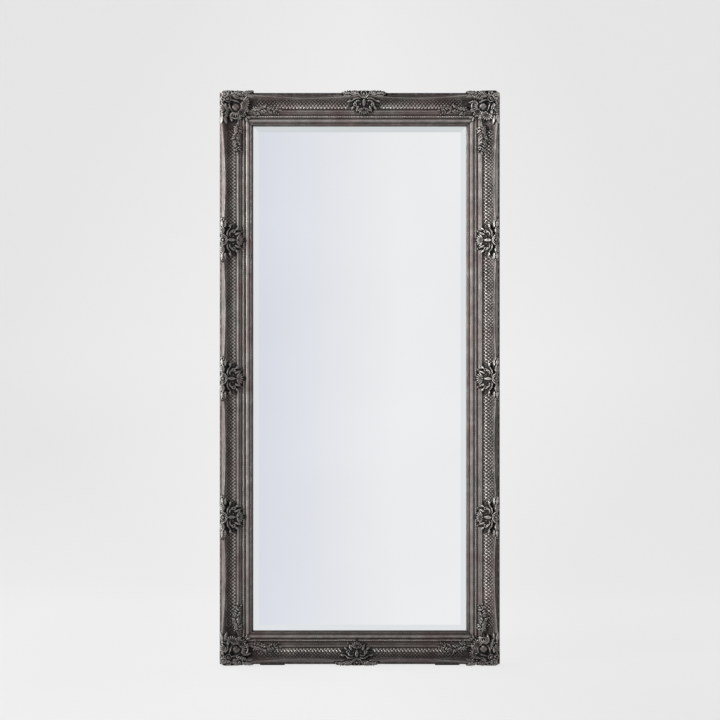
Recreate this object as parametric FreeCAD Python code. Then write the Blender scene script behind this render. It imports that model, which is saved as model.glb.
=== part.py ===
"""Leaning floor mirror: a deep swept and mitred moulding with carved ornaments, a bevelled
mirror in its rebate, a backing board, and hanging rings on the back.

Frame: millimetres, +X to the viewer's right, +Z up, the glass faces -Y. The origin is the
middle of the bounding box on the floor."""

import FreeCAD, Part
import math
import os

from FreeCAD import Placement, Rotation, Vector

# ---- Overall sizes -------------------------------------------------------------------------
frame_width = 800.0
frame_height = 1632.0
rail_width = 95.0
frame_depth = 62.0
ornament_proud = 6.0
top_overhang = 6.0
bottom_overhang = 3.0

# ---- Moulding: widths from its outer edge to the sight edge, and heights off the back ------------
side_height = 28.0
ledge_width = 5.0
ledge_rise = 3.0
lip_round = 4.0
lip_width = 16.0
lip_fall = 11.0
lip_sweep = 11.0
sweep_toe = 0.5
cove_width = 26.0
cove_sag = 4.5
cove_rise = 8.0
arris_width = 6.0
arris_rise = 3.0
ogee_width = 10.0
ogee_sag = 2.5
fillet_width = 1.0
bead_width = 8.6
groove_width = 1.5
groove_depth = 2.5
band_step = 5.0
band_swell = 0.19
sight_bead_width = 4.6
sight_bead_rise = 2.2
sight_slope_width = 4.4
sight_lip = 4.0

# ---- Glass and what holds it -----------------------------------------------------------------
rebate_width = 8.0
rebate_depth = 18.0
glass_thickness = 5.0
glass_edge_gap = 2.0
bevel_width = 23.0
bevel_drop = 2.0
board_thickness = 3.0
board_edge_gap = 1.0
setting_block_length = 50.0
setting_block_inset = 150.0
spacer_length = 40.0
spacer_inset = 300.0
point_width = 9.0
point_length = 16.0
point_hold = 6.0
point_thickness = 0.6
point_pitch = 200.0
point_slot_clearance = 0.05

# ---- Back fittings ---------------------------------------------------------------------------
brace_leg = 90.0
brace_strip = 18.0
brace_thickness = 2.0
brace_line = 43.0
brace_screw_end = 9.0
brace_screw_gap = 34.0
screw_shank_radius = 1.9
screw_head_radius = 3.8
screw_head_height = 2.2
screw_length = 18.0
screw_tip = 4.0
screw_slot = 0.9
screw_hole_clearance = 0.05
bumper_radius = 10.0
bumper_height = 7.0
bumper_inset = 19.0
bumper_round = 2.0
floor_pad_length = 70.0
floor_pad_inset = 150.0
floor_pad_depth = 25.0
floor_pad_heel = 15.0

# ---- Hanging rings ---------------------------------------------------------------------------
ring_drop = 330.0
ring_line = 41.0
ring_wire_radius = 1.75
ring_side_play = 2.75
ring_leg = 6.0
ring_corner_radius = 2.6
ring_strap_gap = 0.3
strap_metal = 1.2
strap_width = 20.0
strap_screw_gap = 18.0
strap_end_margin = 11.0
strap_corner_radius = 6.0
strap_head_gap = 4.0
loop_clearance = 0.05
loop_wood_gap = 0.05

# ---- Ornaments -------------------------------------------------------------------------------
crown_drop = 3.0
crown_edge_fall = 9.0
crown_foot = 7.0
eye_radius = 11.0
eye_ring = 7.5
eye_wire = 2.2
pearl_radius = 4.5
shoulder_radius = 15.0
shoulder_out = 22.0
scroll_ring = 9.0
scroll_wire = 2.8
scroll_line = 39.0
scroll_leaf = 33.0
tongue_radius = 22.0
tongue_line = 34.0
berry_radius = 12.0
wing_radius = 5.0
wing_leaf = 24.0
leaf_radius = 3.4
leaf_tip = 0.35
top_cartouche_shift = 12.0
bottom_cartouche_shift = -8.0
stile_cartouche_pitch = 395.0
cartouche_half = 41.5
cartouche_reach = 75.0
cartouche_wing_reach = 63.0
corner_boss_line = 45.0
corner_boss_radius = 20.0
corner_plate_radius = 29.0
corner_lobe_out = 50.0
corner_lobe_radius = 13.0
corner_berry_line = 70.0
corner_arm_reach = 102.0
fan_leaf = 16.0
fan_leaves = 6
spray_start = 88.0
spray_length = 92.0
spray_line = 50.0
spray_radius = 15.0
spray_stem_radius = 6.0
spray_rise = 9.0
spray_leaf = 21.0
spray_leaf_turn = 38.0
spray_pairs = 3

# ---- What follows from them ------------------------------------------------------------------
ledge_height = side_height + ledge_rise
cove_start = ledge_width + lip_width
cove_start_height = frame_depth - lip_fall
cove_end = cove_start + cove_width
arris_end = cove_end + arris_width
ogee_end = arris_end + ogee_width
bead_start = ogee_end + fillet_width
bead_end = bead_start + bead_width
groove_end = bead_end + groove_width
rebate_wall = rail_width - rebate_width
sight_bead_end = rail_width - sight_slope_width
band_end = sight_bead_end - sight_bead_width
sight_height = rebate_depth + sight_lip
band_height = sight_height + band_step
cove_floor = band_height + cove_rise
arris_height = cove_floor + arris_rise

glass_edge = rebate_wall + glass_edge_gap
edge_front = rebate_depth - bevel_drop * (rail_width - glass_edge) / bevel_width
glass_front = edge_front + bevel_drop
glass_back = glass_front - glass_thickness
board_back = glass_back - board_thickness

ornament_front = frame_depth + ornament_proud
core_height = band_height - groove_depth - 0.5
back_y = (ornament_front - bumper_height) / 2
low_z = bottom_overhang
high_z = low_z + frame_height
middle_z = (low_z + high_z) / 2
bore = screw_shank_radius + screw_hole_clearance

ring_half = strap_width / 2 + ring_side_play + ring_wire_radius
ring_reach = ring_leg + ring_half
loop_radius = ring_wire_radius + loop_clearance + strap_metal
ring_axis_off = loop_radius + loop_wood_gap
ring_axis_y = back_y + ring_axis_off
ring_axis_z = high_z - ring_drop
bow_off = 2 * strap_metal + ring_strap_gap + ring_wire_radius
ring_tilt = math.degrees(math.asin((bow_off - ring_axis_off) / ring_reach))
strap_screw_first = ring_reach + ring_wire_radius + screw_head_radius + strap_head_gap
strap_length = strap_screw_first + strap_screw_gap + strap_end_margin

# Lines that the ornaments are modelled to, as (distance inward, height off the back).
crown = [
    (0.0, ornament_front - crown_drop - crown_edge_fall),
    (ledge_width / 2, ornament_front - 1.5 * crown_drop),
    (cove_start - lip_width / 2, ornament_front - crown_drop),
    (cove_start + cove_width / 2, cove_floor + 2.5 * crown_foot),
    (arris_end, arris_height + crown_foot),
    (cartouche_reach, band_height + crown_foot),
]
spray_crown = [
    (cove_end - cove_width / 2, cove_floor + 1.3 * spray_rise),
    (arris_end, arris_height + 0.9 * spray_rise),
    (groove_end, band_height + 0.8 * spray_rise),
]
# The same at a corner, where the distance is measured along the mitre.
corner_mitre_reach = math.sqrt(2) * corner_berry_line + berry_radius
ridge = [
    (-2.0 * ledge_width, ornament_front - 2 * crown_drop),
    (1.5 * cove_start, ornament_front - crown_drop),
    (math.sqrt(2) * corner_boss_line, ornament_front - 3 * crown_drop),
    (corner_mitre_reach, band_height + crown_foot),
]


# ---- Places: each side and corner is drawn flat, with x along it, y inward, z to the front ----
def flat_place(point, turns):
    """Stands what is drawn flat upright, after that many quarter turns round the frame."""
    turn = Rotation(Vector(0, 1, 0), -90 * turns)
    return Placement(point, turn.multiply(Rotation(Vector(1, 0, 0), 90)))


def side_place(side):
    """0 bottom, 1 right, 2 top, 3 left. x runs along the side, from its middle."""
    edges = [
        Vector(0, back_y, low_z),
        Vector(frame_width / 2, back_y, middle_z),
        Vector(0, back_y, high_z),
        Vector(-frame_width / 2, back_y, middle_z),
    ]
    return flat_place(edges[side], side)


def corner_place(corner):
    """0 bottom left, 1 bottom right, 2 top right, 3 top left. x and y run along the edges."""
    across_x = frame_width / 2 if corner in (1, 2) else -frame_width / 2
    up = high_z if corner in (2, 3) else low_z
    return flat_place(Vector(across_x, back_y, up), corner)


def placed(shape, place):
    return shape.transformed(place.toMatrix(), True)


def side_length(side):
    return frame_width if side in (0, 2) else frame_height


# ---- Small shapes ----------------------------------------------------------------------------
def one(shapes):
    return shapes[0].multiFuse(shapes[1:])


def flat_prism(points, height):
    """A closed outline pushed along +z."""
    face = Part.Face(Part.makePolygon(points + points[:1]))
    return face.extrude(Vector(0, 0, height))


def across(points, half_length):
    """An outline of (inward, height) pairs pushed along x, both ways from the middle."""
    corners = [Vector(-half_length, u, h) for u, h in points]
    face = Part.Face(Part.makePolygon(corners + corners[:1]))
    return face.extrude(Vector(2 * half_length, 0, 0))


def box(x1, x2, y1, y2, z1, z2):
    return Part.makeBox(x2 - x1, y2 - y1, z2 - z1, Vector(x1, y1, z1))


def column(x, y, radius):
    """An upright round column from inside the moulding to the front."""
    return Part.makeCylinder(radius, ornament_front - core_height, Vector(x, y, core_height))


def bar(x1, y1, x2, y2, radius):
    """A round-ended upright wall from one point to another."""
    start = Vector(x1, y1, core_height)
    end = Vector(x2, y2, core_height)
    run = end - start
    side = Vector(-run.y, run.x, 0).normalize() * radius
    outline = [start + side, start - side, end - side, end + side]
    wall = flat_prism(outline, ornament_front - core_height)
    return wall.multiFuse([column(x1, y1, radius), column(x2, y2, radius)])


def leaf(length, radius):
    """A long round grain lying along x, tapering to blunt tips."""
    ends = [
        Part.makeCone(radius, leaf_tip * radius, length / 2, Vector(0, 0, 0), Vector(way, 0, 0))
        for way in (-1, 1)
    ]
    return ends[0].fuse(ends[1])


def mirrored(shape):
    """The other hand of a shape, over its own middle."""
    return shape.mirror(Vector(0, 0, 0), Vector(1, 0, 0))


def swapped(shape):
    """The same shape on the other side of a corner's mitre."""
    return shape.mirror(Vector(0, 0, 0), Vector(1, -1, 0))


def height_on(line, distance):
    for (d1, h1), (d2, h2) in zip(line, line[1:]):
        if distance <= d2:
            return h1 + (h2 - h1) * (distance - d1) / (d2 - d1)
    return line[-1][1]


def leaning(shape, line, x, u, turn=0.0):
    """Stands a shape, drawn about the origin, on a line, leaning as the line does there."""
    step = 1.0
    rise = height_on(line, u + step) - height_on(line, u - step)
    lean = Rotation(Vector(1, 0, 0), math.degrees(math.atan2(rise, 2 * step)))
    spin = Rotation(Vector(0, 0, 1), turn)
    return placed(shape, Placement(Vector(x, u, height_on(line, u)), lean.multiply(spin)))


def upright(shape, x, y, height, turn=0.0):
    return placed(shape, Placement(Vector(x, y, height), Rotation(Vector(0, 0, 1), turn)))


def ridge_height(x, y):
    return height_on(ridge, (x + y) / math.sqrt(2))


# ---- The moulding ----------------------------------------------------------------------------
def moulding_face(x):
    """The moulding's section, standing across the side at x."""

    def at(u, h):
        return Vector(x, u, h)

    def curve(start, end, sag):
        run = end - start
        below = Vector(0, run.z, -run.y).normalize() * sag
        return Part.Arc(start, (start + end) * 0.5 + below, end).toShape()

    corner = lip_round * (1 - math.sqrt(0.5))
    lip_foot = at(ledge_width, frame_depth - lip_round)
    lip_top = at(ledge_width + lip_round, frame_depth)
    lip_middle = at(ledge_width + corner, frame_depth - corner)
    cove_from = at(cove_start, cove_start_height)
    cove_to = at(cove_end, cove_floor)
    chamfer = arris_width / 4
    ogee_from = at(arris_end, arris_height - chamfer)
    ogee_to = at(ogee_end, band_height)
    bead_middle = at((bead_start + bead_end) / 2, band_height + bead_width / 2)
    sight_middle = at((band_end + sight_bead_end) / 2, band_height + sight_bead_rise)
    arris = [cove_to, at(cove_end + chamfer, arris_height), at(arris_end - chamfer, arris_height), ogee_from]
    groove = [
        at(bead_end, band_height),
        at(bead_end, band_height - groove_depth),
        at(groove_end, band_height - groove_depth),
        at(groove_end, band_height),
    ]
    band_rise = band_swell * (band_end - groove_end)
    band_middle = at((groove_end + band_end) / 2, band_height + band_rise)
    back = [
        at(sight_bead_end, band_height),
        at(rail_width, sight_height),
        at(rail_width, rebate_depth),
        at(rebate_wall, rebate_depth),
        at(rebate_wall, 0),
        at(0, 0),
    ]
    pieces = [
        Part.makePolygon([at(0, 0), at(0, side_height), at(ledge_width, ledge_height), lip_foot]),
        Part.Arc(lip_foot, lip_middle, lip_top).toShape(),
        Part.makeLine(lip_top, cove_from),
        curve(cove_from, cove_to, cove_sag),
        Part.makePolygon(arris),
        curve(ogee_from, ogee_to, ogee_sag),
        Part.makeLine(ogee_to, at(bead_start, band_height)),
        Part.Arc(at(bead_start, band_height), bead_middle, at(bead_end, band_height)).toShape(),
        Part.makePolygon(groove),
        Part.Arc(at(groove_end, band_height), band_middle, at(band_end, band_height)).toShape(),
        Part.Arc(at(band_end, band_height), sight_middle, at(sight_bead_end, band_height)).toShape(),
        Part.makePolygon(back),
    ]
    return Part.Face(Part.Wire([edge for piece in pieces for edge in piece.Edges]))


def cartouche_places(side):
    """Where the cartouches stand along a side, measured from its middle."""
    if side == 0:
        return [bottom_cartouche_shift]
    if side == 2:
        return [-top_cartouche_shift]
    return [-stile_cartouche_pitch, 0.0, stile_cartouche_pitch]


def bays(side):
    """The stretches of lip between ornaments, as (start, end) pairs."""
    end = side_length(side) / 2 - corner_arm_reach + 2 * wing_radius
    stops = [-end]
    for place in cartouche_places(side):
        stops += [place - cartouche_half, place + cartouche_half]
    stops.append(end)
    return list(zip(stops[::2], stops[1::2]))


def sweep_cutter(start, end):
    """A wide cone that takes the lip back towards the middle of its bay and slopes its flank."""
    half = (end - start) / 2
    radius = (half**2 + lip_sweep**2) / (2 * lip_sweep)
    foot = radius - lip_sweep + sweep_toe
    rise = frame_depth - ledge_height
    over = 0.2 * rise
    top = radius + (radius - foot) * over / rise
    point = Vector((start + end) / 2, ledge_width + lip_sweep - radius, ledge_height)
    return Part.makeCone(foot, top, rise + over, point)


def moulding(side):
    """One mitred length, drawn flat."""
    half = side_length(side) / 2
    whole = placed(moulding_face(0), Placement(Vector(-half, 0, 0), Rotation()))
    whole = whole.extrude(Vector(2 * half, 0, 0))
    out = 2 * ledge_width
    inner = half - rail_width - out
    mitre = flat_prism(
        [
            Vector(-half - out, -out, -out),
            Vector(half + out, -out, -out),
            Vector(inner, rail_width + out, -out),
            Vector(-inner, rail_width + out, -out),
        ],
        frame_depth + 2 * out,
    )
    return whole.common(mitre).cut([sweep_cutter(start, end) for start, end in bays(side)])


# ---- Ornaments, drawn flat with their outer edge on y = 0 -----------------------------------------
def envelope(line, reach, half_length):
    """What an ornament may fill between the moulding's core and the line it is modelled to."""
    top = [(u, h) for u, h in line if u < reach] + [(reach, height_on(line, reach))]
    heel = cove_start - lip_round
    foot = [(reach, core_height), (heel, core_height), (heel, ledge_height), (top[0][0], ledge_height)]
    return across(top + foot, half_length)


def eye(x, y):
    """A pearl in a ring, up at the front."""
    ring = Part.makeTorus(eye_ring, eye_wire)
    pearl = Part.makeSphere(pearl_radius)
    return [
        upright(ring, x, y, ornament_front - eye_wire - crown_drop / 2),
        upright(pearl, x, y, ornament_front - pearl_radius),
    ]


def shell(x, y):
    """A rolled shell end: a ring round a low knob."""
    ring = Part.makeTorus(scroll_ring, scroll_wire)
    knob = Part.makeSphere(pearl_radius)
    height = ornament_front - crown_drop
    return [upright(ring, x, y, height), upright(knob, x, y, height - crown_drop / 2)]


def wing(start, end):
    """A leafy arm along the lip, with the line it lies on."""
    line = 2 * wing_radius + 1.0
    arm = bar(start, line, end - wing_radius, line, wing_radius)
    arm = arm.common(envelope(crown, cove_start, end))
    height = ornament_front - 1.2 * leaf_radius
    return [arm, upright(leaf(wing_leaf, leaf_radius), end - 0.55 * wing_leaf, line, height)]


def cartouche():
    """Pearl and shoulders on the lip, side scrolls, tongue and berry cluster, with two wings."""
    scroll_out = cartouche_half - shoulder_radius
    berry_line = cartouche_reach - berry_radius
    half_blank = [
        column(shoulder_out, shoulder_radius, shoulder_radius),
        column(scroll_out, scroll_line, shoulder_radius),
    ]
    blanks = [
        column(0, eye_radius, eye_radius),
        column(0, tongue_line, tongue_radius),
        column(0, berry_line, berry_radius),
    ]
    blanks += half_blank + [mirrored(blank) for blank in half_blank]
    body = one(blanks).common(envelope(crown, cartouche_reach, cartouche_half))
    scroll = Part.makeTorus(scroll_ring, scroll_wire)
    long_leaf = leaf(scroll_leaf, pearl_radius)
    half_relief = wing(shoulder_out, cartouche_wing_reach) + shell(shoulder_out, shoulder_radius)
    half_relief.append(leaning(scroll, crown, scroll_out, scroll_line))
    half_relief.append(leaning(long_leaf, crown, scroll_out / 2, scroll_line + shoulder_radius, 50))
    tongue = leaf(1.8 * tongue_radius, tongue_radius / 3)
    berries = Part.makeSphere(0.85 * berry_radius)
    relief = eye(0, eye_radius) + [
        leaning(tongue, crown, 0, tongue_line, 90),
        upright(berries, 0, berry_line, height_on(crown, berry_line) - berry_radius / 2),
    ]
    return one([body] + relief + half_relief + [mirrored(form) for form in half_relief])


def corner_ornament():
    """Eye at the corner, a shell and a leaf arm each way, domed boss, fan and berry cluster."""
    along_mitre = Placement(Vector(0, 0, 0), Rotation(Vector(0, 0, 1), -45))
    lobe = column(corner_lobe_out, corner_lobe_radius, corner_lobe_radius)
    blanks = [
        column(shoulder_radius, shoulder_radius, shoulder_radius),
        lobe,
        swapped(lobe),
        column(corner_boss_line, corner_boss_line, corner_plate_radius),
        column(corner_berry_line, corner_berry_line, berry_radius),
    ]
    fill = envelope(ridge, corner_mitre_reach, 2 * corner_arm_reach)
    body = one(blanks).common(placed(fill, along_mitre))
    half_relief = wing(corner_lobe_out, corner_arm_reach)
    half_relief += shell(corner_lobe_out, corner_lobe_radius)
    relief = eye(shoulder_radius, shoulder_radius)
    boss = Part.makeSphere(corner_boss_radius)
    relief.append(upright(boss, corner_boss_line, corner_boss_line, ornament_front - corner_boss_radius))
    berries = Part.makeSphere(0.85 * berry_radius)
    berry_height = ridge_height(corner_berry_line, corner_berry_line) - berry_radius / 2
    relief.append(upright(berries, corner_berry_line, corner_berry_line, berry_height))
    fan_radius = corner_plate_radius - fan_leaf / 3
    for number in range(fan_leaves):
        turn = 45 + 170 * (number / (fan_leaves - 1) - 0.5)
        x = corner_boss_line + fan_radius * math.cos(math.radians(turn))
        y = corner_boss_line + fan_radius * math.sin(math.radians(turn))
        relief.append(upright(leaf(fan_leaf, leaf_radius), x, y, ridge_height(x, y), turn))
    return one([body] + relief + half_relief + [swapped(form) for form in half_relief])


def leaf_spray():
    """A flower, a stem and pairs of leaves, running from x = 0 away from the corner."""
    stem_start = spray_radius
    stem_end = spray_length - spray_stem_radius
    blanks = [column(stem_start, spray_line, spray_radius)]
    blanks.append(bar(stem_start, spray_line, stem_end, spray_line, spray_stem_radius))
    relief = [leaning(Part.makeSphere(pearl_radius), spray_crown, stem_start, spray_line)]
    relief.append(leaning(leaf(spray_leaf, leaf_radius), spray_crown, stem_end - spray_leaf / 3, spray_line))
    for pair in range(1, spray_pairs + 1):
        share = pair / (spray_pairs + 1)
        x = stem_start + share * (stem_end - stem_start)
        for hand in (-1, 1):
            y = spray_line + hand * (spray_radius - leaf_radius) * (0.75 - 0.35 * share)
            blanks.append(column(x, y, spray_stem_radius))
            grain = leaf(spray_leaf * (1.1 - 0.3 * share), leaf_radius)
            relief.append(leaning(grain, spray_crown, x, y, hand * spray_leaf_turn))
    low, high = spray_crown[0][0], spray_crown[-1][0]
    section = spray_crown + [(high, core_height), (low, core_height)]
    return one([one(blanks).common(across(section, spray_length))] + relief)


# ---- Glass, board and what holds them --------------------------------------------------------------
def pane(edge, low, high):
    """A flat sheet in the rebate, its edges that far in from the frame's outer edges."""
    half = frame_width / 2 - edge
    return box(-half, half, back_y - high, back_y - low, low_z + edge, high_z - edge)


def mirror_glass():
    """A flat pane whose front falls away to a thinner edge all round."""

    def outline(edge, height):
        half = frame_width / 2 - edge
        y = back_y - height
        low, high = low_z + edge, high_z - edge
        corners = [Vector(-half, y, low), Vector(half, y, low), Vector(half, y, high), Vector(-half, y, high)]
        return Part.makePolygon(corners + corners[:1])

    bevel = Part.makeLoft(
        [outline(glass_edge, edge_front), outline(glass_edge + bevel_width, glass_front)], True, True
    )
    return pane(glass_edge, glass_back, edge_front).fuse(bevel).removeSplitter()


def edge_blocks(side, length, inset):
    """Two blocks between the glass edge and the rebate, towards the ends of a side."""
    out = side_length(side) / 2 - inset
    blocks = [
        box(x - length / 2, x + length / 2, rebate_wall, glass_edge, glass_back, edge_front)
        for x in (-out, out)
    ]
    return [placed(block, side_place(side)) for block in blocks]


def point_boxes(side, clearance):
    """The glazier points along one side, or the slots they are pushed into."""
    run = side_length(side) - 2 * rail_width
    count = max(2, round(run / point_pitch))
    tip = rebate_wall + board_edge_gap + point_hold
    half = point_width / 2 + clearance
    found = []
    for number in range(count):
        x = (number + 0.5) * run / count - run / 2
        low, high = tip - point_length - clearance, tip + clearance
        base, top = board_back - point_thickness - clearance, board_back
        found.append(placed(box(x - half, x + half, low, high, base, top), side_place(side)))
    return found


# ---- Back fittings -----------------------------------------------------------------------------------
def from_corner(corner, along_x, along_z):
    """(x, z) of a point that far in from a corner: 0 bottom left, then round to 3 top left."""
    x = frame_width / 2 - along_x
    return (x if corner in (1, 2) else -x, high_z - along_z if corner in (2, 3) else low_z + along_z)


def behind(x, z, off=0.0):
    """A point on the back face, or that far behind it."""
    return Vector(x, back_y + off, z)


def screw(x, z, plate):
    """A cross-head wood screw through a plate on the back."""
    inward = Vector(0, -1, 0)
    crest = behind(x, z, plate + screw_head_height)
    head = Part.makeCylinder(screw_head_radius, screw_head_height, crest, inward)
    shank_length = screw_length - screw_tip
    shank = Part.makeCylinder(screw_shank_radius, shank_length, behind(x, z, plate), inward)
    tip = Part.makeCone(screw_shank_radius, 0, screw_tip, behind(x, z, plate - shank_length), inward)
    reach = 0.6 * screw_head_radius
    slots = [
        box(x - wide, x + wide, crest.y - screw_head_height / 2, crest.y, z - tall, z + tall)
        for wide, tall in ((reach, screw_slot / 2), (screw_slot / 2, reach))
    ]
    return head.fuse([shank, tip]).cut(slots)


def screw_hole(x, z, plate):
    """Room for a screw in its plate and in the wood behind it."""
    depth = screw_length + screw_hole_clearance
    return Part.makeCylinder(bore, depth, behind(x, z, plate), Vector(0, -1, 0))


def brace_screw_places(corner):
    tip = brace_line - brace_strip / 2 + brace_leg
    outs = [tip - brace_screw_end, tip - brace_screw_end - brace_screw_gap]
    places = [(out, brace_line) for out in outs] + [(brace_line, out) for out in outs]
    return [from_corner(corner, along_x, along_z) for along_x, along_z in places]


def corner_brace(corner):
    """A flat steel angle across the back of a mitre."""
    low = brace_line - brace_strip / 2
    high, tip = low + brace_strip, low + brace_leg
    outline = [(low, low), (tip, low), (tip, high), (high, high), (high, tip), (low, tip)]
    points = [behind(*from_corner(corner, a, b)) for a, b in outline]
    plate = Part.Face(Part.makePolygon(points + points[:1])).extrude(Vector(0, brace_thickness, 0))
    return plate.cut([screw_hole(x, z, brace_thickness) for x, z in brace_screw_places(corner)])


def wall_bumper(corner):
    x, z = from_corner(corner, bumper_inset, bumper_inset)
    pad = Part.makeCylinder(bumper_radius, bumper_height, behind(x, z), Vector(0, 1, 0))
    rim = [edge for edge in pad.Edges if edge.BoundBox.YMin > back_y + bumper_height / 2]
    return pad.makeFillet(bumper_round, rim)


def floor_pad(hand):
    """A rubber sole under the bottom rail, turned up behind it as thick as the wall bumpers."""
    x = hand * (frame_width / 2 - floor_pad_inset) - floor_pad_length / 2
    front, wall, heel = back_y - floor_pad_depth, back_y + bumper_height, low_z + floor_pad_heel
    outline = [(front, 0), (wall, 0), (wall, heel), (back_y, heel), (back_y, low_z), (front, low_z)]
    points = [Vector(x, y, z) for y, z in outline]
    return Part.Face(Part.makePolygon(points + points[:1])).extrude(Vector(floor_pad_length, 0, 0))


# ---- Hanging rings -------------------------------------------------------------------------------------
def ring_x(hand):
    return hand * (frame_width / 2 - ring_line)


def strap_screw_places(hand):
    z = ring_axis_z - strap_screw_first
    return [(ring_x(hand), z), (ring_x(hand), z - strap_screw_gap)]


def strap_hanger(hand):
    """A steel strap folded round the ring's bar, its two layers screwed flat to the stile."""
    x = ring_x(hand)
    half = strap_width / 2
    plate = box(x - half, x + half, back_y, back_y + 2 * strap_metal, ring_axis_z - strap_length, ring_axis_z)
    ends = [edge for edge in plate.Edges if edge.BoundBox.ZMax < ring_axis_z - strap_length + 0.01]
    ends = [edge for edge in ends if edge.BoundBox.YLength > strap_metal]
    plate = plate.makeFillet(strap_corner_radius, ends)
    start = Vector(x - half, ring_axis_y, ring_axis_z)
    loop = Part.makeCylinder(loop_radius, strap_width, start, Vector(1, 0, 0))
    hollow = Part.makeCylinder(loop_radius - strap_metal, strap_width, start, Vector(1, 0, 0))
    holes = [screw_hole(px, pz, 2 * strap_metal) for px, pz in strap_screw_places(hand)]
    return plate.fuse(loop).cut([hollow] + holes)


def d_ring(hand):
    """A bent wire D hanging in its strap, its bow resting just clear of the plate."""
    half, leg, turn = ring_half, ring_leg, ring_corner_radius
    bend = turn * (1 - math.sqrt(0.5))

    def at(x, z):
        return Vector(x, 0, z)

    path = [
        Part.makeLine(at(0, 0), at(half - turn, 0)),
        Part.Arc(at(half - turn, 0), at(half - bend, -bend), at(half, -turn)).toShape(),
        Part.makeLine(at(half, -turn), at(half, -leg)),
        Part.Arc(at(half, -leg), at(0, -leg - half), at(-half, -leg)).toShape(),
        Part.makeLine(at(-half, -leg), at(-half, -turn)),
        Part.Arc(at(-half, -turn), at(bend - half, -bend), at(turn - half, 0)).toShape(),
        Part.makeLine(at(turn - half, 0), at(0, 0)),
    ]
    section = Part.Wire(Part.makeCircle(ring_wire_radius, at(0, 0), Vector(1, 0, 0)))
    wire = Part.Wire(path).makePipeShell([section], True, True)
    tilt = Rotation(Vector(1, 0, 0), ring_tilt)
    return placed(wire, Placement(Vector(ring_x(hand), ring_axis_y, ring_axis_z), tilt))


# ---- The whole mirror ------------------------------------------------------------------------------------
def build():
    """Every piece by name, in place."""
    corners = range(4)
    sides = range(4)
    side_names = ["bottom_rail", "right_stile", "top_rail", "left_stile"]
    corner_names = ["bottom_left", "bottom_right", "top_right", "top_left"]
    hands = {"left": -1, "right": 1}
    shift = {0: Vector(0, 0, -bottom_overhang), 2: Vector(0, 0, top_overhang)}

    brace_screws = [place for corner in corners for place in brace_screw_places(corner)]
    strap_screws = [place for hand in hands.values() for place in strap_screw_places(hand)]
    holes = [screw_hole(x, z, brace_thickness) for x, z in brace_screws]
    holes += [screw_hole(x, z, 2 * strap_metal) for x, z in strap_screws]
    slots = [slot for side in sides for slot in point_boxes(side, point_slot_clearance)]

    whole = [placed(moulding(side), side_place(side)) for side in sides]
    pieces = {}
    for side, name in enumerate(side_names):
        pieces[name] = whole[side].cut(holes + slots)

    scroll_piece, corner_piece, spray_piece = cartouche(), corner_ornament(), leaf_spray()
    for corner, name in enumerate(corner_names):
        shape = placed(corner_piece, corner_place(corner))
        shape.translate(shift[0] if corner in (0, 1) else shift[2])
        pieces["corner_ornament_" + name] = shape.cut([whole[corner], whole[corner - 1]])

    cartouche_names = {
        0: ["rail_cartouche_bottom"],
        1: ["stile_cartouche_right_lower", "stile_cartouche_right_middle", "stile_cartouche_right_upper"],
        2: ["rail_cartouche_top"],
        3: ["stile_cartouche_left_upper", "stile_cartouche_left_middle", "stile_cartouche_left_lower"],
    }
    for side, names in cartouche_names.items():
        for name, along in zip(names, cartouche_places(side)):
            shape = placed(upright(scroll_piece, along, 0, 0), side_place(side))
            shape.translate(shift.get(side, Vector(0, 0, 0)))
            pieces[name] = shape.cut(whole[side])

    spray_ends = {
        0: ["leaf_spray_bottom_rail_left", "leaf_spray_bottom_rail_right"],
        1: ["leaf_spray_right_stile_lower", "leaf_spray_right_stile_upper"],
        2: ["leaf_spray_top_rail_right", "leaf_spray_top_rail_left"],
        3: ["leaf_spray_left_stile_upper", "leaf_spray_left_stile_lower"],
    }
    for side, (first, last) in spray_ends.items():
        start = spray_start - side_length(side) / 2
        near = upright(spray_piece, start, 0, 0)
        for name, shape in ((first, near), (last, mirrored(near))):
            pieces[name] = placed(shape, side_place(side)).cut(whole[side])

    pieces["mirror_glass"] = mirror_glass()
    pieces["backing_board"] = pane(rebate_wall + board_edge_gap, board_back, glass_back)
    pieces["glass_setting_blocks"] = Part.makeCompound(
        edge_blocks(0, setting_block_length, setting_block_inset)
    )
    spacers = edge_blocks(1, spacer_length, spacer_inset) + edge_blocks(3, spacer_length, spacer_inset)
    spacers += edge_blocks(2, spacer_length, setting_block_inset)
    pieces["glass_edge_spacers"] = Part.makeCompound(spacers)
    points = [point for side in sides for point in point_boxes(side, 0.0)]
    pieces["glazier_points"] = Part.makeCompound(points)

    for corner, name in enumerate(corner_names):
        pieces["corner_brace_" + name] = corner_brace(corner)
    pieces["corner_brace_screws"] = Part.makeCompound([screw(x, z, brace_thickness) for x, z in brace_screws])
    pieces["wall_bumpers"] = Part.makeCompound([wall_bumper(corner) for corner in corners])
    for name, hand in hands.items():
        pieces["floor_pad_" + name] = floor_pad(hand)
        pieces["strap_hanger_" + name] = strap_hanger(hand)
        pieces["d_ring_" + name] = d_ring(hand)
    pieces["hanger_screws"] = Part.makeCompound([screw(x, z, 2 * strap_metal) for x, z in strap_screws])
    return pieces


os.makedirs("parts", exist_ok=True)
for name, shape in build().items():
    shape.exportStep("parts/" + name + ".step")
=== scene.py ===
"""How the leaning floor mirror looks: a swept, silvered moulding with cast ornament, a bevelled
glass, and the fittings on its back. Lengths are in millimetres until a mesh is made."""

import math

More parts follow.
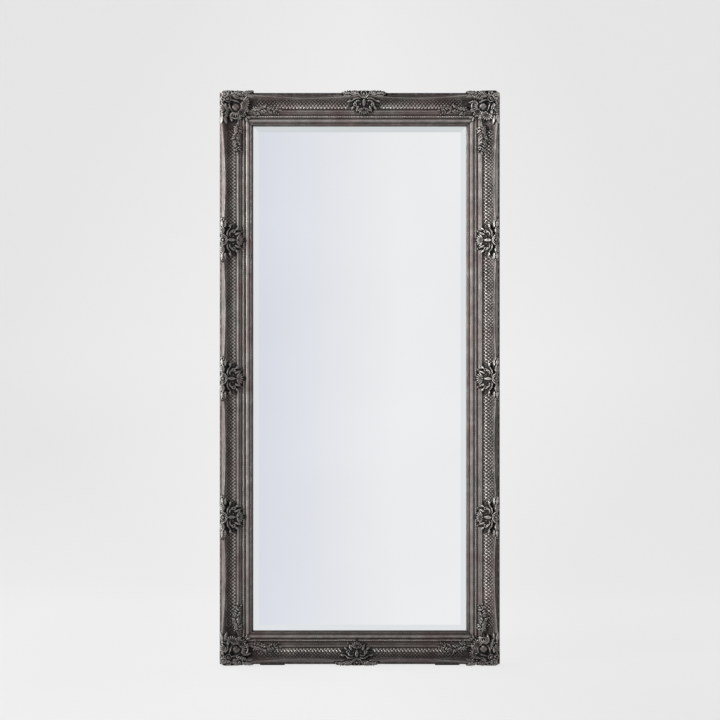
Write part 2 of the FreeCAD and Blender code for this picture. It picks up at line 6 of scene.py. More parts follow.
import bpy
import numpy as np
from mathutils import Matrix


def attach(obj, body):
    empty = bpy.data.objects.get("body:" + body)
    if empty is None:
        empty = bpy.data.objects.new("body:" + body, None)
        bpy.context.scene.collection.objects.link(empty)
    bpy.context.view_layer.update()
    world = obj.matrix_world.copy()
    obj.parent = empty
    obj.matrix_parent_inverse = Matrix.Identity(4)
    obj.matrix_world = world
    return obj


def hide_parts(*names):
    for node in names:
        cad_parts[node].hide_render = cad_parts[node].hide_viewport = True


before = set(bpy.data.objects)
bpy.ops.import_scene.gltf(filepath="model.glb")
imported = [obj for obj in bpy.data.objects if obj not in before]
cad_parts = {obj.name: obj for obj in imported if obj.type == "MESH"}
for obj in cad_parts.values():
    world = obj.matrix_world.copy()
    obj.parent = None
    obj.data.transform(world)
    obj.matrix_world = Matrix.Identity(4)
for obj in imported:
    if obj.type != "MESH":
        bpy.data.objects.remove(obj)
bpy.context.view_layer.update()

# The frame, as the solids have it.
BACK_PLANE = 30.5
LOW_EDGE = 3.0
HIGH_EDGE = 1635.0
HALF_WIDTH = 400.0
MIDDLE = (LOW_EDGE + HIGH_EDGE) / 2
WIDTH = 2 * HALF_WIDTH
HEIGHT = HIGH_EDGE - LOW_EDGE
SIGHT_EDGE = 95.0
REBATE_EDGE = 87.0
REBATE_FLOOR = 18.0
ORNAMENT_FRONT = 68.0
OUT_OF_PLANE = np.array((0.0, -1.0, 0.0))

# Each side: where its middle lies on the outer edge, which way it runs, which way is inward.
SIDES = {
    "bottom_rail": ((0, BACK_PLANE, LOW_EDGE), (1, 0, 0), (0, 0, 1), WIDTH),
    "right_stile": ((HALF_WIDTH, BACK_PLANE, MIDDLE), (0, 0, 1), (-1, 0, 0), HEIGHT),
    "top_rail": ((0, BACK_PLANE, HIGH_EDGE), (-1, 0, 0), (0, 0, -1), WIDTH),
    "left_stile": ((-HALF_WIDTH, BACK_PLANE, MIDDLE), (0, 0, -1), (1, 0, 0), HEIGHT),
}
CORNERS = {
    "bottom_left": ((-HALF_WIDTH, BACK_PLANE, LOW_EDGE), (1, 0, 0), (0, 0, 1)),
    "bottom_right": ((HALF_WIDTH, BACK_PLANE, LOW_EDGE), (0, 0, 1), (-1, 0, 0)),
    "top_right": ((HALF_WIDTH, BACK_PLANE, HIGH_EDGE), (-1, 0, 0), (0, 0, -1)),
    "top_left": ((-HALF_WIDTH, BACK_PLANE, HIGH_EDGE), (0, 0, -1), (1, 0, 0)),
}
# How far the ornament hangs over the outer edge.
OVERHANG = {"bottom_rail": 3.0, "top_rail": 6.0, "left_stile": 0.0, "right_stile": 0.0}
STILE_PITCH = 395.0
CARTOUCHES = {
    "bottom_rail": {"rail_cartouche_bottom": -8.0},
    "top_rail": {"rail_cartouche_top": -12.0},
    "right_stile": {
        "stile_cartouche_right_lower": -STILE_PITCH,
        "stile_cartouche_right_middle": 0.0,
        "stile_cartouche_right_upper": STILE_PITCH,
    },
    "left_stile": {
        "stile_cartouche_left_upper": -STILE_PITCH,
        "stile_cartouche_left_middle": 0.0,
        "stile_cartouche_left_lower": STILE_PITCH,
    },
}
# For each side, the spray at its start and the one at its end.
SPRAYS = {
    "bottom_rail": ("leaf_spray_bottom_rail_left", "leaf_spray_bottom_rail_right"),
    "right_stile": ("leaf_spray_right_stile_lower", "leaf_spray_right_stile_upper"),
    "top_rail": ("leaf_spray_top_rail_right", "leaf_spray_top_rail_left"),
    "left_stile": ("leaf_spray_left_stile_upper", "leaf_spray_left_stile_lower"),
}
CORNER_REACH = 92.0
SPRAY_START = 88.0
SPRAY_LENGTH = 92.0


# ---- places and lines

def placed(where, t, u, h):
    """Points of a side or a corner, in metres in the shared frame."""
    origin, along, inward = where[:3]
    spot = np.asarray(origin, float)
    spot = spot + np.asarray(t)[..., None] * np.asarray(along, float)
    spot = spot + np.asarray(u)[..., None] * np.asarray(inward, float)
    spot = spot + np.asarray(h)[..., None] * OUT_OF_PLANE
    return spot / 1000.0


def heading(degrees):
    """How far one step in a direction goes along and across."""
    return math.cos(math.radians(degrees)), math.sin(math.radians(degrees))


def read_line(line, at):
    """The height that a line of (place, height) points has at a place."""
    return np.interp(at, [p[0] for p in line], [p[1] for p in line])


def bays(side):
    """The stretches of one side between its ornaments, as (start, end) along it."""
    half = SIDES[side][3] / 2
    stops = [-half + CORNER_REACH, *CARTOUCHES[side].values(), half - CORNER_REACH]
    return list(zip(stops[:-1], stops[1:]))


def sweep_at(side, t):
    """0 where the lip of the moulding stands widest, beside an ornament, and 1 in mid-bay."""
    share = np.zeros_like(np.asarray(t, float))
    for start, end in bays(side):
        place = (np.asarray(t, float) - start) / (end - start)
        share = np.maximum(share, 4 * place * (1 - place))
    return np.clip(share, 0, 1)


# ---- the section of the moulding

def arc_points(start, end, sag, count):
    """Points of a shallow hollow between two points, without its start."""
    points = []
    run, fall = end[0] - start[0], end[1] - start[1]
    span = math.hypot(run, fall)
    for step in range(1, count + 1):
        share = step / count
        dip = 4 * sag * share * (1 - share)
        points.append((start[0] + run * share + dip * fall / span,
                       start[1] + fall * share - dip * run / span))
    return points


COVE_START = (21.0, 51.0)
COVE_END = (47.0, 35.0)
COVE_SAG = 4.5
COVE = [COVE_START] + arc_points(COVE_START, COVE_END, COVE_SAG, 14)
# From the foot of the cove to the sight edge: arris, ogee, beaded ridge, band, sight bead.
INNER = [
    (47.6, 35.1), (48.6, 36.2), (50.2, 37.2), (52.0, 37.9), (53.2, 38.0), (54.3, 37.5),
    (55.2, 36.2), (56.6, 34.4), (58.4, 33.0), (60.4, 32.1), (62.0, 31.4), (62.9, 30.2),
    (63.4, 28.6), (64.0, 28.4), (64.9, 29.8), (66.2, 30.9), (68.2, 31.3), (70.2, 30.8),
    (71.6, 29.6), (72.4, 27.8), (73.0, 26.2), (73.9, 26.3), (74.6, 27.8), (76.0, 28.9),
    (78.4, 29.3), (81.2, 28.9), (84.0, 27.7), (86.0, 26.0), (86.8, 24.6), (87.4, 24.7),
    (88.0, 26.0), (89.2, 26.8), (90.4, 26.5), (91.2, 25.2), (91.6, 23.9), (93.2, 23.2),
    (94.6, 22.4), (SIGHT_EDGE, 21.6),
]
REBATE = [(SIGHT_EDGE, REBATE_FLOOR), (REBATE_EDGE, REBATE_FLOOR), (REBATE_EDGE, 0.0)]
# The lip's crest lies further in and lower in mid-bay than beside an ornament.
CREST_PLACE, CREST_SWING = 6.6, 9.4
CREST_HEIGHT, CREST_DROP = 62.0, 6.4
LIP_FOOT = (5.2, 31.2)


def crest_at(sweep):
    """How far in the crest of the lip lies, for one share of the sweep."""
    return CREST_PLACE + CREST_SWING * sweep


def lip_points(sweep):
    """The outer edge, the ledge and the swept lip, for one share of the sweep."""
    crest, top = crest_at(sweep), CREST_HEIGHT - CREST_DROP * sweep
    wall_top, wall_height = crest - 1.5, top - 3.2
    points = [(0.0, 0.0), (0.0, 14.0), (0.0, 26.6), (0.3, 27.6), (1.1, 28.3), (4.5, 30.3)]
    for share in (0.0, 0.3, 0.65, 1.0):
        bulge = 0.7 * math.sin(math.pi * share)
        points.append((LIP_FOOT[0] + (wall_top - LIP_FOOT[0]) * share - bulge * (1 - 0.4 * sweep),
                       LIP_FOOT[1] + (wall_height - LIP_FOOT[1]) * share))
    points += [(crest - 0.9, top - 1.3), (crest, top - 0.2), (crest + 1.1, top)]
    run, fall = COVE_START[0] - crest - 1.1, top - COVE_START[1]
    for share in (0.25, 0.5, 0.75):
        points.append((crest + 1.1 + run * share,
                       top - fall * share ** 1.25 + 0.25 * math.sin(math.pi * share)))
    return points


def section(sweep):
    """The whole section, round to the back, as (in from the outer edge, out from the back)."""
    return lip_points(sweep) + COVE + INNER + REBATE


# What the ornament stands on: the ledge outside, the cove and the ridges further in.
GROUND_LINE = [(-20.0, 26.0), (0.0, 26.0), (0.6, 27.5), (5.0, 29.5), (15.5, 29.5), (20.0, 49.5)]
GROUND_LINE += [(u, h - 1.2) for u, h in COVE[1:] + INNER]

# How light each part of the section is made: rub wear on the proud parts, painted shade in the grooves and on
# the outer edge, and painted light on the lip's outer wall. (in from the outer edge, share).
WEAR_AND_PAINTED_LIGHT_LINE = [
    (0.0, 0.2), (1.0, 0.4), (3.0, 0.36), (4.6, 0.2), (5.3, 0.58), (9.0, 0.72), (17.0, 0.42), (21.0, 0.34),
    (47.0, 0.3), (50.0, 0.5), (53.2, 0.8), (55.0, 0.62), (60.0, 0.6), (62.6, 0.45), (63.6, 0.3),
    (66.0, 0.6), (68.2, 0.75), (71.0, 0.6), (73.0, 0.26), (74.6, 0.72), (79.0, 0.8), (83.0, 0.7),
    (86.4, 0.34), (89.2, 0.7), (91.4, 0.42), (94.0, 0.55), (SIGHT_EDGE, 0.6),
]
# The wear of the lip's highest four points, wherever the sweep takes them.
CREST_WEAR = (0.5, 0.75, 0.8, 0.6)
CREST_ROW = len(lip_points(0.0)) - 6


# ---- meshes

def add_object(name, data):
    made = bpy.data.objects.new(name, data)
    bpy.context.scene.collection.objects.link(made)
    return made


def build_mesh(name, points, faces, smooth=True):
    mesh = bpy.data.meshes.new(name)
    mesh.from_pydata(np.asarray(points).tolist(), [], faces)
    mesh.validate()
    mesh.polygons.foreach_set("use_smooth", [smooth] * len(mesh.polygons))
    mesh.update()
    return add_object(name, mesh)


def grid_quads(index):
    """The quads between the points of a grid, in rows and columns like the grid's own."""
    return np.stack([index[:-1, :-1], index[1:, :-1], index[1:, 1:], index[:-1, 1:]], -1)


def keep_wear_and_light(piece, values):
    """Stores how worn each point is, with painted shade and painted highlight folded in, which the finish
    reads.
    """
    kept = piece.data.attributes.new("wear_and_painted_light", "FLOAT", "POINT")
    kept.data.foreach_set("value", np.asarray(values, np.float32))


def fit(piece, slot, *nodes):
    """Sets a piece on the mirror's body and in place of the nodes it stands for. slot is not used."""
    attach(piece, "mirror")
    if nodes:
        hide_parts(*nodes)


# ---- the moulding

STATION = 8.0
# The sweep of the sections at a mitre is read this far from the end.
MITRE_INSET = 12.0


def make_moulding(side):
    """One mitred length of the moulding, with its swept lip, rebate and back."""
    length = SIDES[side][3]
    half = length / 2
    count = int(length // STATION) // 2 * 2
    rows = len(section(0.0))
    points, wear_and_painted_light = [], []
    for step in range(count + 1):
        share = -1 + 2 * step / count
        here = np.array(section(float(sweep_at(side, share * (half - MITRE_INSET)))))
        t = share * (half - here[:, 0])
        points.append(placed(SIDES[side], t, here[:, 0], here[:, 1]))
        # Rub wear, painted shade and painted light, read off the section.
        section_wear_and_light = read_line(WEAR_AND_PAINTED_LIGHT_LINE, here[:, 0])
        section_wear_and_light[CREST_ROW:CREST_ROW + 4] = CREST_WEAR
        wear_and_painted_light.append(section_wear_and_light)
    # Each face is silvered, or bare on the rebate and the back.
    faces, bare = [], []
    for step in range(count):
        for row in range(rows):
            after = (row + 1) % rows
            faces.append((step * rows + row, (step + 1) * rows + row,
                          (step + 1) * rows + after, step * rows + after))
            bare.append(row >= rows - len(REBATE))
    faces.append(tuple(range(rows)))
    faces.append(tuple(count * rows + row for row in reversed(range(rows))))
    bare += [True, True]
    piece = build_mesh(side + "_moulding", np.concatenate(points), faces)
    keep_wear_and_light(piece, np.concatenate(wear_and_painted_light))
    piece.data.materials.append(FINISH["moulding"])
    piece.data.materials.append(FINISH["stile_back" if "stile" in side else "rail_back"])
    piece.data.polygons.foreach_set("material_index", [int(face) for face in bare])
    piece.data.polygons.foreach_set("use_smooth", [not face for face in bare])
    fit(piece, "moulding", side)


# ---- the weave in the cove

WEAVE_PITCH = 9.9
WEAVE_ROW = 6.8
WEAVE_LOW, WEAVE_HIGH = -0.7, 2.0
WEAVE_COLUMNS = 43
WEAVE_FROM_CORNER = 12.0
WEAVE_FROM_CARTOUCHE = 40.0
# How far the ends of a panel are rounded, and how fast the canes sink at its rim.
WEAVE_ROUNDING = 10
WEAVE_RIM = 1.6
CANE_HALF_WIDTH = 0.40
CANE_WAVE = 0.36
COVE_LINE = np.array([(17.4, 53.6), (19.2, 52.4)] + COVE)
COVE_RUN = np.concatenate([[0], np.cumsum(np.hypot(*np.diff(COVE_LINE, axis=0).T))])


def basket(t, w):
    """Height of crossing canes that pass over and under each other. w runs across the cove."""
    first = t / WEAVE_PITCH + w / (2 * WEAVE_ROW)
    second = t / WEAVE_PITCH - w / (2 * WEAVE_ROW)
    x = first - np.floor(first) - 0.5
    y = second - np.floor(second) - 0.5
    over = np.where((np.floor(first) + np.floor(second)) % 2 == 0, 1.0, -1.0)
    canes = []
    for across, lengthways, sign in ((x, y, over), (y, x, -over)):
        back = np.sqrt(np.clip(1 - (across / CANE_HALF_WIDTH) ** 2, 0, 1))
        height = CANE_WAVE * sign * np.cos(math.pi * lengthways) + (1 - CANE_WAVE) * back
        canes.append(np.where(back > 0, height, -1))
    return np.clip(np.maximum(*canes), 0, 1)


def weave_panel(side, low, high):
    """One panel of the weave between two places along a side: its points, quads and wear, with painted shade
    and painted highlight folded in.
    """
    width = COVE_RUN[-1]
    t, w = np.meshgrid(np.arange(low, high + 0.5, 1.0), np.linspace(0, width, WEAVE_COLUMNS), indexing="ij")
    u = np.interp(w, COVE_RUN, COVE_LINE[:, 0])
    h = np.interp(w, COVE_RUN, COVE_LINE[:, 1])
    slope_u, slope_h = np.gradient(u, axis=1), np.gradient(h, axis=1)
    size = np.hypot(slope_u, slope_h)
    # How far inside the panel each point lies, from its ends, its sides and the lip.
    rounding = WEAVE_ROUNDING * (2 * w / width - 1) ** 2
    lip = crest_at(sweep_at(side, t)) + 1.4
    inside = np.minimum.reduce([
        (t - low) - rounding, (high - t) - rounding, width - w, w + 0.4, (u - lip + 0.5) * 1.5,
    ])
    rise = basket(t, w) * np.clip(inside / WEAVE_RIM, 0, 1)
    lift = WEAVE_LOW + (WEAVE_HIGH - WEAVE_LOW) * rise
    points = placed(SIDES[side], t, u - slope_h / size * lift, h + slope_u / size * lift)
    quads = grid_quads(np.arange(t.size).reshape(t.shape))
    # Painted highlight: the leaf is made brightest in a band along the deepest part of the cove. Between the
    # canes it is darker, partly wear and partly painted shade.
    wear_and_highlight = 0.6 + 0.5 * np.exp(-((u - 41.5) / 4.5) ** 2)
    wear_and_painted_light = np.clip(rise * 1.7 - 0.6, 0, 1) * wear_and_highlight
    return points.reshape(-1, 3), quads.reshape(-1, 4), wear_and_painted_light.ravel()


def make_weave(side):
    """The basket weave in the cove, in one panel for each bay, with rounded ends."""
    stretches = bays(side)
    panels, base = [], 0
    for start, end in stretches:
        low = start + (WEAVE_FROM_CORNER if start == stretches[0][0] else WEAVE_FROM_CARTOUCHE)
        high = end - (WEAVE_FROM_CORNER if end == stretches[-1][1] else WEAVE_FROM_CARTOUCHE)
        points, quads, wear_and_painted_light = weave_panel(side, low, high)
        panels.append((points, quads + base, wear_and_painted_light))
        base += len(points)
    points, quads, wear_and_painted_light = (np.concatenate(parts) for parts in zip(*panels))
    piece = build_mesh("weave_" + side, points, quads.tolist())
    keep_wear_and_light(piece, wear_and_painted_light)
    piece.data.materials.append(FINISH["weave"])
    fit(piece, "moulding")


# ---- rows of beads

def bumps(name, side, places, u, h, long, wide, tall, rings=4, spokes=10, wear_and_highlight=0.85):
    """A row of half-buried oval beads along one side, at places of (t, share of the length).
    long, wide and tall are measured from the middle of a bead."""
    points, faces, wear_and_painted_light = [], [], []
    for t, stretch in places:
        base = len(points)
        for ring in range(rings):
            level = math.pi / 2 * ring / rings
            for spoke in range(spokes):
                turn = 2 * math.pi * spoke / spokes
                points.append((t + stretch * long * math.cos(level) * math.cos(turn),
                               u + wide * math.cos(level) * math.sin(turn),
                               h + tall * math.sin(level)))
                # Lighter towards each bead's top and darker at its foot: rub wear and painted highlight on
                # top, painted shade at the foot.
                wear_and_painted_light.append(0.15 + wear_and_highlight * math.sin(level))
        points.append((t, u, h + tall))
        wear_and_painted_light.append(0.15 + wear_and_highlight)
        top = base + rings * spokes
        for ring in range(rings):
            for spoke in range(spokes):
                here = base + ring * spokes + spoke
                after = base + ring * spokes + (spoke + 1) % spokes
                last = ring == rings - 1
                faces.append((here, after, top) if last else (here, after, after + spokes, here + spokes))
    piece = build_mesh(name, placed(SIDES[side], *np.array(points).T), faces)
    keep_wear_and_light(piece, wear_and_painted_light)
    piece.data.materials.append(FINISH["beading"])
    fit(piece, "moulding")


BEAD_PITCH = 5.2
BEADING_FROM_END = 72


def make_beading(side):
    """The fine beads on the ridge beside the sight edge."""
    reach = SIDES[side][3] / 2 - BEADING_FROM_END
    count = int(2 * reach // BEAD_PITCH)
    pitch = 2 * reach / count
    places = [(-reach + pitch * (n + 0.5), 1.0) for n in range(count)]
    bumps("beading_" + side, side, places, u=68.2, h=30.4, long=2.35, wide=3.0, tall=2.1)


CARVING_PITCH = 25.5
CARVING_FROM_CORNER = 96.0
CARVING_FROM_CARTOUCHE = 62.0
PEARL_SHARE = 0.22


def make_ledge_carving(side):
    """A pearl and a long bar by turns, on the ledge outside the lip."""
    half = SIDES[side][3] / 2
    stops = [-half + 6.0, *CARTOUCHES[side].values(), half - 6.0]
    places = []
    for start, end in zip(stops[:-1], stops[1:]):
        low = start + (CARVING_FROM_CORNER if start == stops[0] else CARVING_FROM_CARTOUCHE)
        high = end - (CARVING_FROM_CORNER if end == stops[-1] else CARVING_FROM_CARTOUCHE)
        count = max(1, round((high - low) / CARVING_PITCH))
        pitch = (high - low) / count
        for number in range(count):
            places.append((low + pitch * (number + 0.5), 1.0))
            places.append((low + pitch * number, PEARL_SHARE))
    bumps("ledge_carving_" + side, side, places, u=3.4, h=29.2, long=9.4, wide=1.9, tall=1.5,
          spokes=14, wear_and_highlight=0.45)


# ---- cast relief

# The height where there is no ornament, and the height that parts such places from the rest.
NO_CAST, LEAST_CAST = -50.0, -20.0


class Relief:
    """A patch of cast ornament, as heights over a fine grid. x runs along, y inward. crown gives the
    height that the ornament swells to, and each rise is measured from it. body is how deep under the
    crown the relief counts for wear and painted shade."""

    def __init__(self, x_range, y_range, crown, body=4.6, step=0.6):
        x_line = np.arange(x_range[0], x_range[1] + step / 2, step)
        y_line = np.arange(y_range[0], y_range[1] + step / 2, step)
        self.x, self.y = np.meshgrid(x_line, y_line, indexing="ij")
        self.crown = crown(self.x, self.y)
        self.h = np.full(self.x.shape, NO_CAST)
        self.body = body

    def add(self, inside, rise):
        height = np.minimum(self.crown + rise, ORNAMENT_FRONT - 0.2)
        self.h = np.where(inside, np.maximum(self.h, height), self.h)

    def add_rib(self, off, wire, rise):
        """A round rib, where off is the distance from its middle line and wire its half width."""
        self.add(np.abs(off) < wire, rise - wire + np.sqrt(np.clip(wire ** 2 - off ** 2, 0, None)))

    def local(self, x, y, angle):
        c, s = heading(angle)
        along = (self.x - x) * c + (self.y - y) * s
        return along, -(self.x - x) * s + (self.y - y) * c

    def plate(self, x, y, half_x, half_y, drop, angle=0.0):
        along, across = self.local(x, y, angle)
        far = (along / half_x) ** 2 + (across / half_y) ** 2
        self.add(far < 1, -drop - 2.5 * far ** 3)

    def dome(self, x, y, half_x, half_y, rise, tall, angle=0.0, flat=1.0):
        """A smooth boss. tall is how far its top stands over its rim."""
        along, across = self.local(x, y, angle)
        far = (np.abs(along) / half_x) ** (2 * flat) + (np.abs(across) / half_y) ** (2 * flat)
        self.add(far < 1, rise - tall + tall * np.sqrt(np.clip(1 - far, 0, 1)))

    def pearl(self, x, y, radius, rise):
        self.dome(x, y, radius, radius, rise, radius)

    def ring(self, x, y, radius, wire, rise):
        self.add_rib(np.hypot(self.x - x, self.y - y) - radius, wire, rise)

    def stroke(self, line, wires, rises):
        """A rounded rib through the points of line, whose thickness and height may change."""
        count = len(line)
        wire_at = np.interp(np.linspace(0, 1, count), np.linspace(0, 1, len(wires)), wires)
        rise_at = np.interp(np.linspace(0, 1, count), np.linspace(0, 1, len(rises)), rises)
        for n in range(count - 1):
            (ax, ay), (bx, by) = line[n], line[n + 1]
            run = (bx - ax) ** 2 + (by - ay) ** 2
            share = np.clip(((self.x - ax) * (bx - ax) + (self.y - ay) * (by - ay)) / run, 0, 1)
            off = np.hypot(self.x - ax - share * (bx - ax), self.y - ay - share * (by - ay))
            wire = wire_at[n] + share * (wire_at[n + 1] - wire_at[n])
            rise = rise_at[n] + share * (rise_at[n + 1] - rise_at[n])
            self.add_rib(off, wire, rise)

    def curl(self, x, y, radius, start, turns, wires, rises, close=0.3):
        """A volute that winds in from its rim. turns is negative for the other way round."""
        line = []
        for n in range(33):
            share = n / 32
            far = radius * (1 - (1 - close) * share)
            turn = math.radians(start) + 2 * math.pi * turns * share
            line.append((x + far * math.cos(turn), y + far * math.sin(turn)))
        self.stroke(line, wires, rises)

    def leaf(self, x, y, angle, length, width, rise, tall=3.0, bend=0.0, ribs=5, lobes=0.16):
        """A ribbed leaf from its stem, with lobed edges and a vein down its middle."""
        along, across = self.local(x, y, angle)
        share = along / length
        inside = (share > 0) & (share < 1)
        share = np.clip(share, 0, 1)
        across = across - bend * length * share ** 2
        half = width / 2 * np.sin(math.pi * share ** 0.75) ** 0.7
        half = half * (1 + lobes * np.cos(2 * math.pi * ribs * (share - 0.08))) + 0.01
        side = np.abs(across) / half
        body = np.sqrt(np.clip(1 - side ** 2, 0, 1))
        vein = np.exp(-((across / (0.10 * width + 0.25)) ** 2))
        rib = np.cos(2 * math.pi * ribs * (share - 0.08 - 0.16 * side))
        tip = 1 - 0.45 * share ** 2
        height = tall * (body * tip - 1) - 0.30 * tall * vein * (1 - share) + 0.17 * tall * rib * side * tip
        self.add(inside & (side < 1), rise + height)

    def leaf_pair(self, x, y, angle, length, width, rise, tall, bend, ribs, lobes):
        """A leaf and its mirror image over the diagonal of a corner."""
        self.leaf(x, y, angle, length, width, rise, tall, bend, ribs, lobes)
        self.leaf(y, x, 90 - angle, length, width, rise, tall, -bend, ribs, lobes)

    def shell(self, x, y, angle, radius, spread, ribs, rise, tall=3.0):
        """A scallop shell that opens towards angle."""
        along, across = self.local(x, y, angle)
        far = np.hypot(along, across)
        turn = np.arctan2(across, along) / math.radians(spread)
        flute = np.abs(np.cos(math.pi * ribs * (turn + 1) / 2 + math.pi / 2)) ** 0.7
        edge = radius * (0.9 + 0.1 * flute) * (1 - 0.12 * turn ** 2)
        share = far / edge
        body = np.sqrt(np.clip(1 - share ** 4, 0, 1)) * (0.35 + 0.65 * share)
        height = tall * (body - 1) + 0.55 * tall * (flute - 0.6) * np.clip(share, 0, 1)
        self.add((np.abs(turn) < 1) & (share < 1) & (far > 0), rise + height)

    def fan(self, x, y, angle, spread, count, start, length, width, rise, tall=3.0):
        """Narrow leaves side by side, fanning out from a point."""
        for n in range(count):
            turn = angle + spread * (n / (count - 1) - 0.5)
            c, s = heading(turn)
            self.leaf(x + start * c, y + start * s, turn, length, width, rise, tall, 0.0, 3, 0.08)

    def flower(self, x, y, radius, petals, rise, turn=0.0):
        """Petals round a pearl."""
        for n in range(petals):
            angle = turn + 360 * n / petals
            c, s = heading(angle)
            self.dome(x + 0.55 * radius * c, y + 0.55 * radius * s, 0.47 * radius, 0.36 * radius,
                      rise - 0.8, 0.55 * radius, angle)
        self.pearl(x, y, 0.30 * radius, rise)

    def soften(self):
        """Takes the sharpness off, as casting and gesso do, without spreading the outline."""
        padded = np.pad(self.h, 1, mode="edge")
        total, weight = np.zeros_like(self.h), np.zeros_like(self.h)
        for dx in (0, 1, 2):
            for dy in (0, 1, 2):
                part = padded[dx:dx + self.h.shape[0], dy:dy + self.h.shape[1]]
                share = (4, 2, 1)[abs(dx - 1) + abs(dy - 1)] * (part > LEAST_CAST)
                total += part * share
                weight += share
        self.h = np.where(self.h < LEAST_CAST, self.h, total / np.maximum(weight, 1))

    def wear_and_painted_shade(self, floor):
        """1 on what stands over its surroundings, 0 in the hollows: rub wear on the proud parts, painted
        shade in the hollows and deep under the crown. A rim is not proud for being a rim.
        """
        here = np.maximum(np.maximum(self.h, floor), self.crown - self.body)
        near, wide = self.blurred(here, 3), self.blurred(here, 9)
        # Painted shade: whatever lies deep under the crown is made darker.
        depth_shade = np.clip((np.maximum(self.h, floor) - self.crown + 9.0) / 5.0, 0, 1)
        return np.clip(0.33 + 0.58 * (here - near) + 0.17 * (here - wide), 0, 1) * depth_shade

    @staticmethod
    def blurred(values, size):
        for _ in range(2):
            for axis in (0, 1):
                padded = np.pad(values, [(size, size) if n == axis else (0, 0) for n in (0, 1)], mode="edge")
                total = np.cumsum(padded, axis=axis)
                total = np.concatenate([np.zeros_like(total.take([0], axis)), total], axis)
                count = values.shape[axis]
                high = total.take(range(2 * size + 1, 2 * size + 1 + count), axis)
                values = (high - total.take(range(count), axis)) / (2 * size + 1)
        return values


def cast(name, node, relief, place, floor, flipped=False):
    """Closes a relief into a solid that stands on floor, and sets it in place of a node."""
    top = relief.h.copy()
    for edge in (np.s_[0, :], np.s_[-1, :], np.s_[:, 0], np.s_[:, -1]):
        top[edge] = NO_CAST
    raised = top > floor + 0.05
    corners = raised[:-1, :-1] | raised[1:, :-1] | raised[1:, 1:] | raised[:-1, 1:]
    index = np.arange(top.size).reshape(top.shape)
    under = np.where(raised, index + top.size, index)
    faces = np.concatenate([grid_quads(index)[corners], grid_quads(under)[corners][:, ::-1]])
    if flipped:
        faces = faces[:, ::-1]
    x, y = np.tile(relief.x.ravel(), 2), np.tile(relief.y.ravel(), 2)
    height = np.concatenate([np.where(raised, top, floor).ravel(), floor.ravel()])
    wear_and_painted_light = np.concatenate([relief.wear_and_painted_shade(floor).ravel(), np.zeros(top.size)])
    used, faces = np.unique(faces, return_inverse=True)
    piece = build_mesh(name, place(x[used], y[used], height[used]), faces.reshape(-1, 4).tolist())
    keep_wear_and_light(piece, wear_and_painted_light[used])
    piece.data.materials.append(FINISH["ornament"])
    fit(piece, "ornament", node)


# ---- the ornaments
# A leaf is given as stem x and y, direction, length, width, rise, height, bend, ribs and lobes.
# A pearl is x, y, radius and rise. A stroke has its points, then half widths and rises along it.

# The swell of the ornaments across the moulding: (in from the outer edge, height).
CROWN_LINE = [(0, 55.5), (1.2, 60.0), (3.0, 63.2), (8, 65.0), (13, 65.2), (20, 62.0), (34, 53.6),
              (53, 46.0), (66, 40.0), (75, 34.5), (110, 28.0)]
SPRAY_CROWN = [(30, 47.0), (34, 47.0), (53, 46.0), (63, 41.0), (70, 37.5)]
# How deep under the crown a spray counts for wear and painted shade; shallower, so the sprays come out
# darker.
SPRAY_SHADE_DEPTH = 2.6
SPRAY_PAIRS = 10


